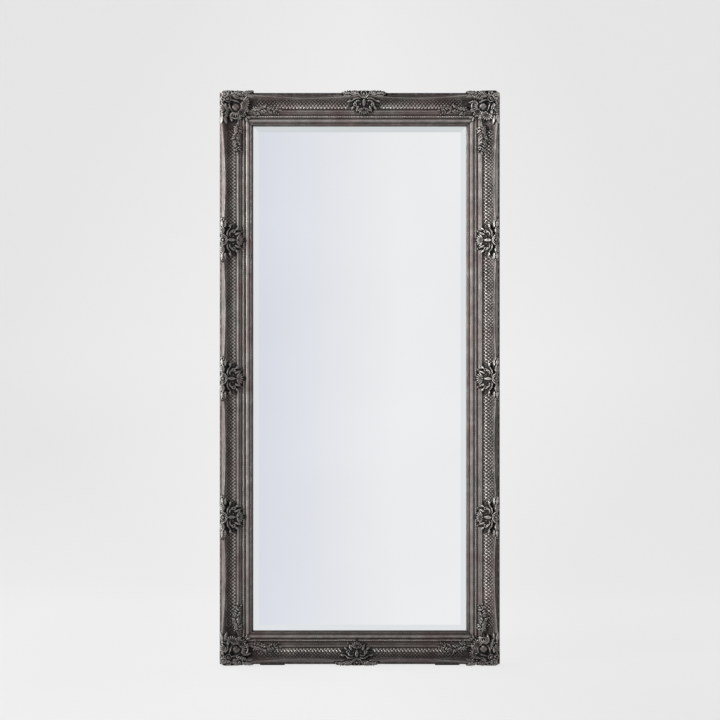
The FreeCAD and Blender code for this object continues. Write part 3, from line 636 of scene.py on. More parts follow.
def cartouche_relief():
    """A pearl in a scroll over acanthus: shell shoulders, a tongue, a palmette and leaf wings."""
    patch = Relief((-66, 66), (0, 78), lambda x, y: read_line(CROWN_LINE, y))
    patch.plate(0, 26, 35, 25, 7.5)
    patch.plate(0, 9, 58, 8.0, 8.5)
    for hand in (-1, 1):
        facing = 0 if hand > 0 else 180

        def leaf(x, y, turn, length, width, rise, tall, bend, ribs, lobes):
            patch.leaf(hand * x, y, facing + hand * turn, length, width, rise, tall, hand * bend, ribs, lobes)

        def stroke(line, wires, rises):
            patch.stroke([(hand * x, y) for x, y in line], wires, rises)

        # Broad leaves underneath, which give the piece its body.
        leaf(4, 26, 16, 44, 27, -2.0, 4.5, 0.12, 6, 0.16)
        leaf(3, 32, 50, 42, 22, -1.4, 4.5, 0.10, 6, 0.16)
        leaf(22, 10, -1, 44, 17, -2.0, 4.5, 0.0, 6, 0.18)
        # Shell shoulder, wing leaves and the small curl at the wing's end.
        patch.shell(hand * 26, 17.5, -90 + hand * 8, 17.0, 62, 5, 1.8, 5.5)
        leaf(38, 9.0, -5, 19, 9.5, 1.4, 3.6, 0.06, 4, 0.2)
        leaf(36, 16.5, 8, 22, 7, 0.2, 3.0, -0.12, 4, 0.2)
        patch.curl(hand * 56.5, 9.6, 4.6, facing + 90, hand * 0.95, (1.5, 1.5, 1.1), (1.0, 1.2, 0.6), 0.45)
        # The scroll from the shoulder round under the pearl.
        stroke([(16.5, 5.0), (15.6, 10.5), (12.0, 16.5), (7.0, 21.0), (0, 23.2)],
               (1.0, 2.0, 2.6, 2.3, 1.9), (2.0, 3.0, 3.2, 2.6, 2.2))
        # Two long strokes and a volute that swing out to the side.
        stroke([(8.5, 25.0), (16, 23.0), (24, 24.2), (32, 29.5), (37, 33)],
               (1.0, 2.1, 2.3, 1.6, 0.8), (1.8, 3.2, 2.8, 1.4, 0.6))
        stroke([(9.5, 32.0), (15, 29.6), (21, 31.2), (27, 37.5), (30, 43)],
               (1.0, 2.1, 2.3, 1.6, 0.8), (1.8, 3.2, 2.8, 1.6, 0.8))
        patch.curl(hand * 24.0, 41.0, 5.6, facing - hand * 110, hand * 1.15,
                   (1.7, 1.7, 1.2), (2.0, 2.2, 1.2), 0.35)
        # Acanthus tips down the flank.
        leaf(28, 46, 44, 13, 6.5, 1.2, 2.8, 0.10, 4, 0.22)
        leaf(15, 44, 62, 19, 7.5, 2.0, 3.4, 0.12, 5, 0.22)
        leaf(36, 30, 14, 12, 7, 1.2, 2.8, 0.12, 4, 0.2)
        patch.pearl(hand * 10.4, 39.5, 2.1, 2.4)
        patch.pearl(hand * 19.0, 52.5, 2.0, 1.8)
        patch.pearl(hand * 5.0, 54.0, 1.9, 3.4)
    # The pearl in its ring, the tongue and the palmette down the middle.
    patch.leaf(0, 30, 90, 47, 30, -1.4, 4.5, 0.0, 6, 0.12)
    patch.ring(0, 11.0, 8.0, 1.7, 1.4)
    patch.pearl(0, 11.0, 4.3, 2.8)
    patch.leaf(-0.5, 25.5, 88, 22, 11.5, 3.4, 4.6, 0.02, 5, 0.06)
    patch.fan(0, 48, 90, 116, 7, 4.0, 18.0, 6.4, 2.4, 3.6)
    patch.pearl(0, 50.5, 2.7, 4.0)
    patch.soften()
    return patch


def corner_crown(x, y):
    """The swell of a corner, which is highest over the mitre."""
    least, most = np.minimum(x, y), np.maximum(x, y)
    ridge = np.interp(least, (0, 15, 50, 75), (0.0, 1.6, 6.0, 4.0))
    return np.minimum(read_line(CROWN_LINE, least) + ridge * np.clip(1.4 - (most - least) / 34, 0, 1), 66.0)


def corner_relief():
    """Volutes on the very corner, a shell lobe and a leaf along each edge, boss, fans and a flower."""
    patch = Relief((0, 104), (0, 104), corner_crown)
    patch.plate(31, 31, 36, 30, 8.5, 45)
    patch.plate(42, 10, 38, 9, 9.0)
    patch.plate(10, 42, 9, 38, 9.0)
    # Broad leaves underneath, which give the piece its body.
    patch.leaf_pair(24, 34, 101, 66, 27, -2.6, 5.0, 0.06, 7, 0.16)
    patch.leaf_pair(34, 42, 72, 52, 24, -2.0, 5.0, 0.06, 6, 0.18)
    patch.leaf(38, 38, 45, 60, 34, -2.4, 5.0, 0.0, 7, 0.16)
    # The corner itself: an eye in its volute, and smaller ones behind it.
    patch.curl(12.8, 16.0, 9.6, 250, -1.2, (2.4, 2.6, 2.0), (1.8, 3.0, 1.6), 0.55)
    patch.pearl(12.8, 16.0, 4.2, 3.2)
    patch.curl(9.6, 31.0, 6.4, 60, 1.1, (1.9, 2.0, 1.5), (2.0, 2.6, 1.6), 0.4)
    patch.curl(27.5, 10.2, 6.6, 200, 1.15, (2.0, 2.0, 1.5), (2.0, 2.6, 1.6), 0.35)
    patch.dome(25.5, 25.0, 7.2, 6.4, 1.6, 6.0, 45)
    patch.ring(25.5, 25.0, 8.6, 1.5, 1.6)
    patch.leaf_pair(17, 38, 78, 19, 9, 2.2, 3.6, 0.10, 4, 0.2)
    for line in ([(29, 35), (30.5, 42), (32.5, 50), (36, 58)], [(36, 28.5), (44, 29), (52, 31.5), (59, 36)]):
        patch.stroke(line, (1.2, 2.3, 2.3, 1.0), (2.0, 3.2, 2.8, 1.4))
    # One arm: a shell lobe over the edge, beads, saw-edged leaves, and a fan inward of them.
    patch.shell(20.0, 51.0, 180, 19.5, 58, 5, 2.6, 6.5)
    patch.stroke([(21, 42), (24, 47), (24.5, 54), (22, 60)], (1.0, 2.0, 2.0, 1.0), (1.6, 3.0, 3.0, 1.6))
    patch.pearl(9.6, 68.0, 4.0, 2.2)
    patch.pearl(16.4, 66.5, 2.6, 1.6)
    patch.leaf(24, 58, 80, 22, 9, 1.4, 3.6, 0.10, 5, 0.22)
    patch.leaf(8.5, 71, 97, 27, 12, 1.6, 4.4, 0.10, 6, 0.26)
    patch.leaf(16, 72, 84, 28, 9, 0.4, 3.6, -0.10, 6, 0.24)
    patch.fan(36, 66, 84, 118, 7, 4.0, 18, 6.6, 2.6, 4.2)
    patch.pearl(36, 67, 3.4, 4.0)
    # The other arm: a shell lobe, a row of slanting ribs, beads and leaf tips.
    patch.shell(51.0, 20.0, -90, 19.0, 56, 5, 2.2, 6.5)
    for n in range(6):
        x = 47 + 5.0 * n
        patch.stroke([(x, 31 - n), (x + 4.5, 24.5 - n), (x + 6.5, 19.5 - 0.8 * n)],
                     (1.0, 2.0, 1.1), (1.4, 3.2, 1.4))
    patch.pearl(68.5, 9.8, 3.9, 2.0)
    patch.pearl(66.5, 17.0, 2.6, 1.4)
    patch.leaf(72, 9.0, -5, 26, 11, 1.4, 4.4, -0.06, 6, 0.24)
    patch.leaf(74, 16.5, 6, 24, 9, 0.4, 3.6, 0.08, 5, 0.22)
    patch.leaf(66, 33, 10, 25, 10, 1.6, 3.8, -0.06, 5, 0.22)
    # The boss with a fan each way, a ring with its pearl, and the crescent.
    patch.dome(49.0, 47.0, 11.5, 10.5, 2.0, 6.5, 45, 1.15)
    patch.fan(47, 49, 70, 96, 7, 12.0, 17, 6.2, 2.8, 3.8)
    patch.ring(51.0, 75.5, 4.4, 1.6, 2.2)
    patch.pearl(51.0, 75.5, 2.2, 2.0)
    patch.fan(51, 47, 6, 78, 6, 12.5, 15, 5.8, 2.4, 3.4)
    crescent = [(66 + 15 * c, 46 + 15 * s) for c, s in (heading(-58 + 6.2 * n) for n in range(19))]
    patch.stroke(crescent, (0.8, 2.4, 3.0, 2.4, 0.8), (0.6, 3.0, 3.4, 3.0, 0.6))
    # A flower and buds where the two rails meet.
    patch.flower(68.0, 68.0, 9.6, 6, 3.4, 15)
    patch.leaf_pair(60, 67, 108, 19, 8, 2.2, 3.4, -0.10, 4, 0.2)
    patch.leaf_pair(74, 76, 62, 14, 6.5, 1.2, 2.8, 0.10, 4, 0.2)
    patch.pearl(80, 61.5, 2.4, 1.8)
    patch.pearl(61.5, 80.5, 2.4, 1.8)
    patch.soften()
    return patch


def spray_relief():
    """A winding stem with flowers, pairs of leaves, buds and small berries."""
    patch = Relief((-2, SPRAY_LENGTH + 1), (29, 72), lambda x, y: read_line(SPRAY_CROWN, y), SPRAY_SHADE_DEPTH)
    stem = [(4 + 3.4 * n, 50 + 3.6 * math.sin(n / 25 * math.pi * 3.2)) for n in range(25)]
    patch.stroke(stem, (2.0, 1.7, 1.2), (-1.0, -1.4, -2.0))
    draws = np.random.default_rng(7)
    for n in range(1, SPRAY_PAIRS + 1):
        x, y = stem[2 * n + 1]
        size = 16.5 - 0.7 * n
        for hand in (-1, 1):
            angle = hand * (46 + 24 * draws.random()) + 8 * math.sin(n)
            rise = 0.2 + 2.0 * draws.random()
            patch.leaf(x - 3 * (hand > 0), y + hand * 1.5, angle, size, 0.5 * size, rise, 3.8,
                       -0.14 * hand, 3, 0.12)
        if n % 3 == 1:
            patch.pearl(x + 5.5, y + 9.2, 2.2, 1.8)
            patch.pearl(x + 3.2, y - 9.8, 2.0, 1.6)
    patch.flower(13, 46.5, 8.6, 5, 2.0, 10)
    patch.flower(34, 55.5, 6.8, 5, 1.6, 40)
    patch.flower(53, 45.0, 6.8, 5, 1.6, 70)
    patch.pearl(68, 54.5, 2.8, 1.2)
    patch.leaf(82, stem[23][1], 6, 9.8, 5.0, 0.6, 2.6, 0.0, 3, 0.15)
    patch.soften()
    return patch


def set_cartouches():
    patch = cartouche_relief()
    for side, spots in CARTOUCHES.items():
        shift = OVERHANG[side]
        for name, middle in spots.items():
            cast(name + "_relief", name, patch, lambda x, y, h: placed(SIDES[side], middle + x, y - shift, h),
                 read_line(GROUND_LINE, patch.y - shift))


def set_corners():
    patch = corner_relief()
    for name, where in CORNERS.items():
        # Only the drop or rise is shifted, so the ornament stays flush with the stiles.
        shift = OVERHANG["bottom_rail" if "bottom" in name else "top_rail"]
        _, along, inward = where
        shift_x = shift if along[2] else 0.0
        shift_y = shift if inward[2] else 0.0
        cast("corner_" + name + "_relief", "corner_ornament_" + name, patch,
             lambda x, y, h: placed(where, x - shift_x, y - shift_y, h),
             read_line(GROUND_LINE, np.minimum(patch.x - shift_x, patch.y - shift_y)))


def set_sprays():
    patch = spray_relief()
    for side, names in SPRAYS.items():
        start = SIDES[side][3] / 2 - SPRAY_START
        for name, hand in zip(names, (-1, 1)):
            cast(name + "_relief", name, patch,
                 lambda x, y, h: placed(SIDES[side], hand * (start - x), y, h),
                 read_line(GROUND_LINE, patch.y), hand > 0)


# ---- the glass

GLASS_EDGE = 89.0
BEVEL = 23.0
EDGE_FRONT = 17.478
GLASS_FRONT = 19.478
GLASS_BACK = 14.478
# How much is ground off the arrises.
BACK_EASE, FRONT_EASE = 0.5, 0.3


def make_glass():
    """The silvered plate, with its wide bevel and a ground edge."""
    # Four corners for each ring, from the back round to the front: (in from the outer edge, height).
    rings = [(GLASS_EDGE + BACK_EASE, GLASS_BACK), (GLASS_EDGE, GLASS_BACK + BACK_EASE),
             (GLASS_EDGE, EDGE_FRONT - FRONT_EASE), (GLASS_EDGE + FRONT_EASE, EDGE_FRONT),
             (GLASS_EDGE + BEVEL, GLASS_FRONT)]
    finishes = ("silvering", "bevel", "glass_edge", "silver_back")
    points = []
    for u, h in rings:
        for x, top in ((-1, False), (1, False), (1, True), (-1, True)):
            points.append((x * (HALF_WIDTH - u), BACK_PLANE - h, HIGH_EDGE - u if top else LOW_EDGE + u))
    last = 4 * (len(rings) - 1)
    faces, kinds = [], []
    for first in range(0, last, 4):
        for corner in range(4):
            after = (corner + 1) % 4
            faces.append((first + corner, first + after, first + 4 + after, first + 4 + corner))
            kinds.append("bevel" if first == last - 4 else "glass_edge")
    faces += [(last, last + 1, last + 2, last + 3), (3, 2, 1, 0)]
    kinds += ["silvering", "silver_back"]
    piece = build_mesh("silvered_glass", np.array(points) / 1000, faces, False)
    for finish in finishes:
        piece.data.materials.append(FINISH[finish])
    piece.data.polygons.foreach_set("material_index", [finishes.index(kind) for kind in kinds])
    fit(piece, "mirror", "mirror_glass")


# ---- shader nodes

def tone(red, green, blue):
    """A colour given as it is seen, from 0 to 255."""
    def level(value):
        value /= 255
        return value / 12.92 if value <= 0.04045 else ((value + 0.055) / 1.055) ** 2.4
    return (level(red), level(green), level(blue), 1.0)


def grey(value):
    return tone(value, value, value)


def put(tree, kind, settings=(), **sockets):
    """Adds a shader node. A socket given as another node's output is linked, and else set."""
    made = tree.nodes.new(kind)
    for name, value in dict(settings).items():
        setattr(made, name, value)
    for name, value in sockets.items():
        key = int(name[1:]) if name[0] == "_" else name.replace("_", " ")
        if isinstance(value, bpy.types.NodeSocket):
            tree.links.new(value, made.inputs[key])
        else:
            made.inputs[key].default_value = value
    return made


def calc(tree, what, first, second=0.0, clamp=False):
    settings = {"operation": what, "use_clamp": clamp}
    return put(tree, "ShaderNodeMath", settings, _0=first, _1=second).outputs[0]


def blend(tree, share, first, second):
    return put(tree, "ShaderNodeMix", {"data_type": "RGBA"}, _0=share, _6=first, _7=second).outputs[2]


def span(tree, value, low, high, to_low=0.0, to_high=1.0, how="LINEAR"):
    return put(tree, "ShaderNodeMapRange", {"interpolation_type": how}, Value=value,
               From_Min=low, From_Max=high, To_Min=to_low, To_Max=to_high).outputs[0]


def object_place(tree):
    return put(tree, "ShaderNodeTexCoord").outputs["Object"]


def stretched(tree, place, by):
    return put(tree, "ShaderNodeVectorMath", {"operation": "MULTIPLY"}, _0=place, _1=by).outputs[0]


def cloud(tree, place, scale, detail=3.0, rough=0.5):
    return put(tree, "ShaderNodeTexNoise", Vector=place, Scale=scale,
               Detail=detail, Roughness=rough).outputs[0]


def mix_shaders(tree, share, first, second):
    return put(tree, "ShaderNodeMixShader", _0=share, _1=first, _2=second).outputs[0]


def straight_ray(tree):
    """1 for what the camera sees directly or through glass."""
    path = put(tree, "ShaderNodeLightPath").outputs
    return calc(tree, "MAXIMUM", path["Is Camera Ray"], path["Is Transmission Ray"])


# ---- shared effects

def new_group(name, colours, vectors, numbers):
    """An empty node group. Returns its tree, the inputs to read and a function that makes the outputs."""
    tree = bpy.data.node_groups.new(name, "ShaderNodeTree")

    def socket(title, way, kind):
        return tree.interface.new_socket(title, in_out=way, socket_type="NodeSocket" + kind)

    for title in colours:
        socket(title, "INPUT", "Color")
    for title in vectors:
        socket(title, "INPUT", "Vector")
    for title, value in numbers.items():
        socket(title, "INPUT", "Float").default_value = value

    def give(**values):
        for title in values:
            socket(title, "OUTPUT", "Color" if title == "Color" else "Float")
        end = tree.nodes.new("NodeGroupOutput").inputs
        for title, value in values.items():
            tree.links.new(value, end[title])

    return tree, tree.nodes.new("NodeGroupInput").outputs, give


def worn_leaf_group():
    """Silver leaf over dark bole: bright where proud, as rub wear and painted highlight; brown and grey in
    patches; dark in hollows, as bole and painted shade; and darker towards the bottom as painted shade.
    """
    tree, take, give = new_group("Worn leaf", ("Leaf", "Tarnish", "Bole", "Warm", "Cool"), (),
                                 {"Wear and painted light": 0.5, "Rubbed": 0.5, "Burnish": 0.0})
    place = object_place(tree)
    broad = cloud(tree, place, 9.0, 2.0)
    mottle = cloud(tree, place, 27.0, 5.0, 0.68)
    fine = cloud(tree, place, 420.0, 3.0, 0.65)
    # How bare the leaf is: wear with its painted shade and highlight, roughened by mottling.
    bare = calc(tree, "ADD", take["Wear and painted light"], span(tree, mottle, 0.3, 0.7, -0.14, 0.14))
    bare = calc(tree, "ADD", bare, span(tree, fine, 0.3, 0.7, -0.12, 0.12))
    hollow = span(tree, bare, 0.14, 0.46)
    proud = span(tree, calc(tree, "ADD", bare, calc(tree, "SUBTRACT", take["Rubbed"], 0.5)), 0.45, 0.95)
    warm = span(tree, broad, 0.50, 0.60, how="SMOOTHSTEP")
    cool = span(tree, broad, 0.44, 0.36, how="SMOOTHSTEP")
    dull = blend(tree, calc(tree, "MULTIPLY", warm, 0.75), take["Tarnish"], take["Warm"])
    dull = blend(tree, calc(tree, "MULTIPLY", cool, 0.6), dull, take["Cool"])
    colour = blend(tree, hollow, take["Bole"], dull)
    bright = blend(tree, calc(tree, "MULTIPLY", warm, 0.2), take["Leaf"], take["Warm"])
    colour = blend(tree, proud, colour, bright)
    # Painted shade: the frame is made darker towards the bottom, where less light reaches it.
    low = put(tree, "ShaderNodeSeparateXYZ", Vector=place).outputs[2]
    rough = calc(tree, "ADD", span(tree, proud, 0, 1, 0.52, 0.34), span(tree, fine, 0.3, 0.7, -0.06, 0.06))
    give(Color=blend(tree, span(tree, low, 0.16, 0.0, 0.0, 0.42), colour, take["Bole"]),
         Roughness=calc(tree, "SUBTRACT", rough, take["Burnish"]),
         Metallic=span(tree, hollow, 0, 1, 0.2, 0.8),
         Height=calc(tree, "ADD", calc(tree, "MULTIPLY", fine, 0.4), mottle))
    return tree


def timber_group():
    """Bare softwood: long grain, growth bands and a few dark pores. Along gives the squeeze of each axis."""
    tree, take, give = new_group("Timber", ("Pale", "Dark"), ("Along",), {})
    drawn = stretched(tree, object_place(tree), take["Along"])
    bands = cloud(tree, drawn, 60.0, 3.0, 0.55)
    lines = calc(tree, "SINE", calc(tree, "MULTIPLY", bands, 60.0))
    pores = cloud(tree, drawn, 900.0, 2.0, 0.6)
    grain = span(tree, lines, -1, 1, 0.05, 0.6)
    share = calc(tree, "ADD", grain, span(tree, pores, 0.35, 0.7, -0.2, 0.35), True)
    give(Color=blend(tree, share, take["Pale"], take["Dark"]),
         Roughness=span(tree, share, 0, 1, 0.62, 0.78),
         Height=calc(tree, "SUBTRACT", 1.0, share))
    return tree


def plating_group():
    """Rolled steel under bright plating, with faint streaks, specks and finger dulling."""
    tree, take, give = new_group("Plating", ("Metal", "Dull"), ("Streak",), {"Polish": 0.3})
    place = object_place(tree)
    streaks = cloud(tree, stretched(tree, place, take["Streak"]), 500.0, 2.0, 0.6)
    blotch = cloud(tree, place, 70.0, 4.0, 0.6)
    drawn = span(tree, streaks, 0.35, 0.7, 0, 0.35)
    share = calc(tree, "ADD", drawn, span(tree, blotch, 0.45, 0.75, 0, 0.6), True)
    give(Color=blend(tree, share, take["Metal"], take["Dull"]),
         Roughness=calc(tree, "ADD", take["Polish"], calc(tree, "MULTIPLY", share, 0.25)),
         Height=streaks)
    return tree


def speckle_group():
    """Fine mottling for pressed board and rubber."""
    tree, take, give = new_group("Speckle", ("Ground", "Fleck"), (), {"Scale": 300.0})
    place = object_place(tree)
    fibres = cloud(tree, place, take["Scale"], 5.0, 0.7)
    broad = cloud(tree, place, 6.0, 3.0, 0.5)
    mask = calc(tree, "ADD", span(tree, fibres, 0.36, 0.66), span(tree, broad, 0.3, 0.7, -0.15, 0.15), True)
    give(Color=blend(tree, mask, take["Ground"], take["Fleck"]), Height=fibres)
    return tree


GROUPS = {"leaf": worn_leaf_group(), "timber": timber_group(),
          "plating": plating_group(), "speckle": speckle_group()}


# ---- finishes

def blank_material(name):
    """A material with only its output. Returns it, its node tree and the socket for the surface."""
    material = bpy.data.materials.new(name)
    material.use_nodes = True
    tree = material.node_tree
    tree.nodes.clear()
    return material, tree, tree.nodes.new("ShaderNodeOutputMaterial").inputs["Surface"]


def new_finish(name, group, values, bump, depth, **shader):
    """A material around one of the groups. values sets the group, and shader the plain sockets."""
    material, tree, surface = blank_material(name)
    body = put(tree, "ShaderNodeBsdfPrincipled", **shader)
    tree.links.new(body.outputs[0], surface)
    part = tree.nodes.new("ShaderNodeGroup")
    part.node_tree = GROUPS[group]
    for title, value in values.items():
        part.inputs[title].default_value = value
    tree.links.new(part.outputs["Color"], body.inputs["Base Color"])
    for title in ("Roughness", "Metallic"):
        if title in part.outputs:
            tree.links.new(part.outputs[title], body.inputs[title])
    rough = put(tree, "ShaderNodeBump", Strength=bump, Distance=depth, Height=part.outputs["Height"])
    tree.links.new(rough.outputs[0], body.inputs["Normal"])
    if "Wear and painted light" in part.inputs:
        wear_and_painted_light = put(tree, "ShaderNodeAttribute", {"attribute_name": "wear_and_painted_light"})
        tree.links.new(wear_and_painted_light.outputs["Fac"], part.inputs["Wear and painted light"])
    return material


LEAF_TONES = {
    "Leaf": tone(200, 194, 188), "Tarnish": tone(124, 117, 114), "Bole": tone(34, 29, 28),
    "Warm": tone(124, 107, 105), "Cool": tone(100, 101, 95),
}
# Painted shade: the same leaf as the moulding, made darker on the cast ornament.
SHADED_CAST_TONES = {
    **LEAF_TONES, "Leaf": tone(184, 180, 175), "Tarnish": tone(84, 80, 78), "Bole": tone(20, 17, 17),
}


def silvered(name, tones, wear_and_highlight, burnish, bump, depth):
    return new_finish(name, "leaf", {**tones, "Rubbed": wear_and_highlight, "Burnish": burnish}, bump, depth)


def bare_pine(name, along):
    values = {"Along": along, "Pale": tone(205, 176, 134), "Dark": tone(158, 120, 78)}
    return new_finish(name, "timber", values, 0.15, 0.0003)


def plated(name, metal, dull, streak, polish, bump, metallic):
    values = {"Metal": metal, "Dull": dull, "Streak": streak, "Polish": polish}
    return new_finish(name, "plating", values, bump, 0.0002, Metallic=metallic)


def speckled(name, ground, fleck, scale, bump, depth, roughness):
    values = {"Ground": ground, "Fleck": fleck, "Scale": scale}
    return new_finish(name, "speckle", values, bump, depth, Roughness=roughness)


def glass_finish(name, colour, rough, metallic=1.0):
    """Silvered glass. A faint haze keeps the reflection from being perfectly even."""
    material, tree, surface = blank_material(name)
    place = object_place(tree)
    haze = span(tree, cloud(tree, place, 2.2, 2.0), 0.35, 0.65)
    hazy = (*(0.97 * level for level in colour[:3]), 1.0)
    body = put(tree, "ShaderNodeBsdfPrincipled", Metallic=metallic,
               Base_Color=blend(tree, haze, colour, hazy),
               Roughness=span(tree, cloud(tree, place, 40.0, 3.0), 0.3, 0.7, rough, rough * 1.4))
    tree.links.new(body.outputs[0], surface)
    return material


EVEN, UPRIGHT, LEVEL = (1, 1, 1), (1, 1, 0.04), (0.04, 1, 1)
FINISH = {
    "moulding": silvered("silvered_moulding", LEAF_TONES, 0.42, 0.0, 0.35, 0.0006),
    "weave": silvered("silvered_weave", LEAF_TONES, 0.62, 0.08, 0.1, 0.0004),
    "beading": silvered("silvered_beading", LEAF_TONES, 0.5, 0.0, 0.15, 0.0003),
    "ornament": silvered("silvered_ornament", SHADED_CAST_TONES, 0.5, 0.03, 0.5, 0.0006),
    "stile_back": bare_pine("bare_pine_upright", UPRIGHT),
    "rail_back": bare_pine("bare_pine_level", LEVEL),
    "board": speckled("hardboard", tone(122, 86, 54), tone(150, 112, 74), 240.0, 0.2, 0.0004, 0.72),
    "steel": plated("zinc_plate", tone(196, 196, 192), tone(140, 140, 136), (1, 1, 0.05), 0.3, 0.05, 0.95),
    "screw": plated("zinc_screws", tone(206, 196, 160), tone(150, 140, 108), EVEN, 0.26, 0.05, 0.95),
    "ring": plated("nickel_wire", tone(214, 212, 206), tone(160, 158, 152), EVEN, 0.18, 0.04, 1.0),
    "rubber": speckled("bumper_rubber", tone(44, 43, 42), tone(64, 62, 60), 700.0, 0.15, 0.0002, 0.7),
    "block": speckled("block_rubber", tone(70, 70, 72), tone(92, 92, 94), 600.0, 0.15, 0.0002, 0.65),
    "silvering": glass_finish("silvered_field", tone(250, 251, 251), 0.015),
    "bevel": glass_finish("silvered_bevel", tone(248, 251, 251), 0.02),
    "glass_edge": glass_finish("ground_edge", tone(190, 214, 204), 0.3, 0.2),
    "silver_back": glass_finish("backing_paint", tone(120, 124, 128), 0.5, 0.1),
}

# ---- making it

for side in SIDES:
    make_moulding(side)
    make_weave(side)
    make_beading(side)
    make_ledge_carving(side)
set_cartouches()
set_corners()
set_sprays()
make_glass()

# The solids that keep their own shape, by finish.
KEPT = {
    "board": ["backing_board"],
    "block": ["glass_setting_blocks", "glass_edge_spacers"],
    "steel": ["glazier_points", "strap_hanger_left", "strap_hanger_right",
              *("corner_brace_" + corner for corner in CORNERS)],
    "screw": ["corner_brace_screws", "hanger_screws"],
    "rubber": ["wall_bumpers", "floor_pad_left", "floor_pad_right"],
    "ring": ["d_ring_left", "d_ring_right"],
}
for finish, names in KEPT.items():
    for name in names:
        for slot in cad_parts[name].material_slots:
            slot.link = "OBJECT"
            slot.material = FINISH[finish]

# ---- studio

FLOOR_FRONT, FLOOR_BACK = -14.0, 3.0
WALL_TOP = 9.0
TURN_RADIUS = 2.0
BACKDROP_HALF_WIDTH = 12.0


def backdrop_finish():
    """Pale paper: even to the eye, with the shadow of the object kept."""
    material, tree, surface = blank_material("backdrop_paper")
    place = object_place(tree)
    paper = blend(tree, cloud(tree, place, 30.0, 3.0), grey(226), grey(232))
    matt = put(tree, "ShaderNodeBsdfDiffuse", Color=paper).outputs[0]
    # The glow falls off to the sides, upwards, towards the camera and down to the floor.
    x, y, z = put(tree, "ShaderNodeSeparateXYZ", Vector=place).outputs
    off = calc(tree, "ADD", calc(tree, "ABSOLUTE", x), span(tree, z, 0.8, 3.0, 0.0, 1.2))
    off = calc(tree, "ADD", off, span(tree, y, -3.0, -12.0, 0.0, 1.6))
    off = calc(tree, "ADD", off, span(tree, z, 0.9, 0.0, 0.0, 0.9))
    paler = blend(tree, span(tree, off, 0.2, 1.7), grey(254), grey(242))
    glow = put(tree, "ShaderNodeEmission", Color=paler, Strength=1.0).outputs[0]
    both = mix_shaders(tree, calc(tree, "MULTIPLY", straight_ray(tree), 0.82), matt, glow)
    # From behind the paper is clear, so the back of the mirror can be looked at.
    behind = put(tree, "ShaderNodeNewGeometry").outputs["Backfacing"]
    clear = put(tree, "ShaderNodeBsdfTransparent").outputs[0]
    tree.links.new(mix_shaders(tree, behind, both, clear), surface)
    return material


def make_backdrop():
    """A floor that turns up into a wall, well behind the object. Lengths in metres."""
    profile = [(FLOOR_FRONT, 0.0), (FLOOR_BACK, 0.0)]
    for step in range(1, 13):
        c, s = heading(90 * step / 12)
        profile.append((FLOOR_BACK + TURN_RADIUS * s, TURN_RADIUS * (1 - c)))
    profile.append((FLOOR_BACK + TURN_RADIUS, WALL_TOP))
    points = [(x, y, z) for y, z in profile for x in (-BACKDROP_HALF_WIDTH, BACKDROP_HALF_WIDTH)]
    faces = [(2 * n, 2 * n + 1, 2 * n + 3, 2 * n + 2) for n in range(len(profile) - 1)]
    paper = build_mesh("backdrop", points, faces)
    paper.data.materials.append(backdrop_finish())
    # The mirror shows the room of the world, without an edge where the floor ends.
    paper.visible_glossy = False


def reflected_room(tree):
    """What reflections find: a bright wall in front, a window wall on the left, a dark room on the
    right, and the paler and darker stretches that a bevel throws in."""
    way = put(tree, "ShaderNodeTexCoord").outputs["Generated"]
    across, depth, up = put(tree, "ShaderNodeSeparateXYZ", Vector=way).outputs
    room = blend(tree, span(tree, up, -0.5, 0.5), tone(178, 176, 175), tone(88, 87, 86))
    right = blend(tree, span(tree, depth, -0.5, 0.2), tone(134, 133, 132), tone(48, 47, 47))
    room = blend(tree, span(tree, across, 0.2, 0.6), room, right)
    window = calc(tree, "MULTIPLY", span(tree, across, -0.25, -0.6), span(tree, depth, -0.35, 0.05))
    room = blend(tree, window, room, tone(228, 228, 226))
    ahead = blend(tree, span(tree, up, 0.08, 0.14), tone(231, 231, 233), tone(216, 219, 220))
    room = blend(tree, span(tree, depth, -0.84, -0.96), room, ahead)
    wall = blend(tree, span(tree, across, -0.034, 0.013), tone(221, 224, 234), tone(242, 242, 243))
    return blend(tree, span(tree, depth, -0.989, -0.992), room, wall)


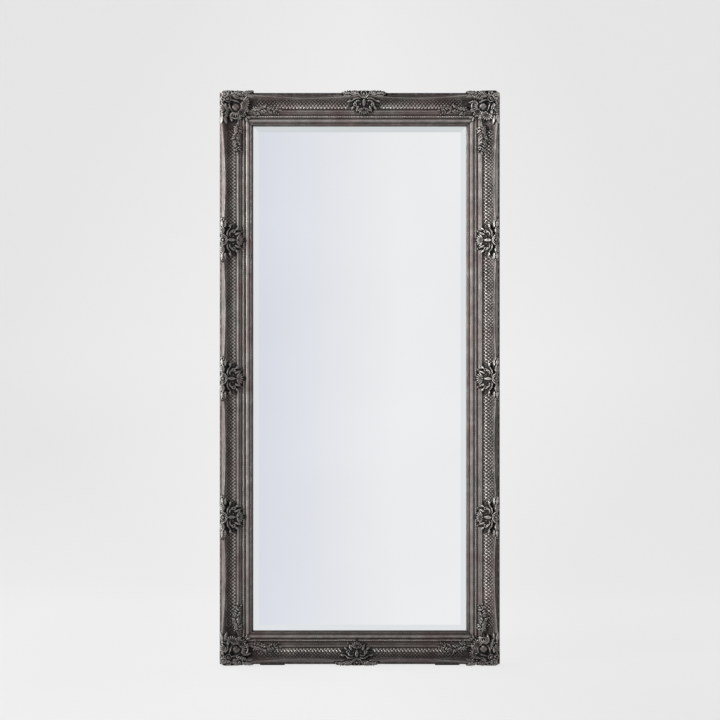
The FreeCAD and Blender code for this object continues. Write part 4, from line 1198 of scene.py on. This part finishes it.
def make_world():
    """Plain and pale to the eye, soft as a light, and a room to reflections."""
    world = bpy.data.worlds.new("studio")
    bpy.context.scene.world = world
    world.use_nodes = True
    tree = world.node_tree
    tree.nodes.clear()
    surface = tree.nodes.new("ShaderNodeOutputWorld").inputs["Surface"]
    lit, mirrored, shown = (
        put(tree, "ShaderNodeBackground", Color=colour, Strength=strength).outputs[0]
        for colour, strength in ((grey(255), 0.22), (reflected_room(tree), 1.0), (grey(232), 1.0)))
    glossy = put(tree, "ShaderNodeLightPath").outputs["Is Glossy Ray"]
    both = mix_shaders(tree, glossy, lit, mirrored)
    tree.links.new(mix_shaders(tree, straight_ray(tree), both, shown), surface)


# Each lamp: its place and its size in metres, and its power.
LAMPS = {
    "key": ((-2.3, -2.1, 1.55), (0.9, 1.9), 48),
    "side": ((-3.4, 0.4, 1.6), (2.0, 1.8), 48),
    "fill": ((2.4, -3.6, 1.5), (1.8, 2.4), 12),
    "rear": ((-1.5, 3.0, 2.6), (2.2, 2.2), 50),
    "right": ((3.2, 1.6, 1.9), (1.6, 1.8), 20),
}
LAMP_AIM = (0.0, 0.0, 0.85)


def make_lamps():
    for name, (place, size, power) in LAMPS.items():
        lamp = bpy.data.lights.new(name, "AREA")
        lamp.shape = "RECTANGLE"
        lamp.size, lamp.size_y = size
        lamp.energy = power
        holder = add_object(name, lamp)
        holder.location = place
        x, y, z = np.array(place) - np.array(LAMP_AIM)
        holder.rotation_euler = (math.atan2(math.hypot(x, y), z), 0, math.atan2(x, -y))


# The photograph shows the mirror face on, from far away.
CAMERA_PLACE = (0.0007, -9.0, 0.8719)
PICTURE_WIDTH = 720
MM_PER_PIXEL = 2.856
FILM_WIDTH = 36.0


def make_camera():
    view = bpy.data.cameras.new("view")
    view.sensor_width = FILM_WIDTH
    view.lens = FILM_WIDTH * -CAMERA_PLACE[1] / (PICTURE_WIDTH * MM_PER_PIXEL / 1000)
    view.clip_end = 60.0
    holder = add_object("view", view)
    holder.location = CAMERA_PLACE
    holder.rotation_euler = (math.pi / 2, 0, 0)
    bpy.context.scene.camera = holder


make_backdrop()
make_world()
make_camera()
make_lamps()
bpy.context.scene.view_settings.view_transform = "Standard"
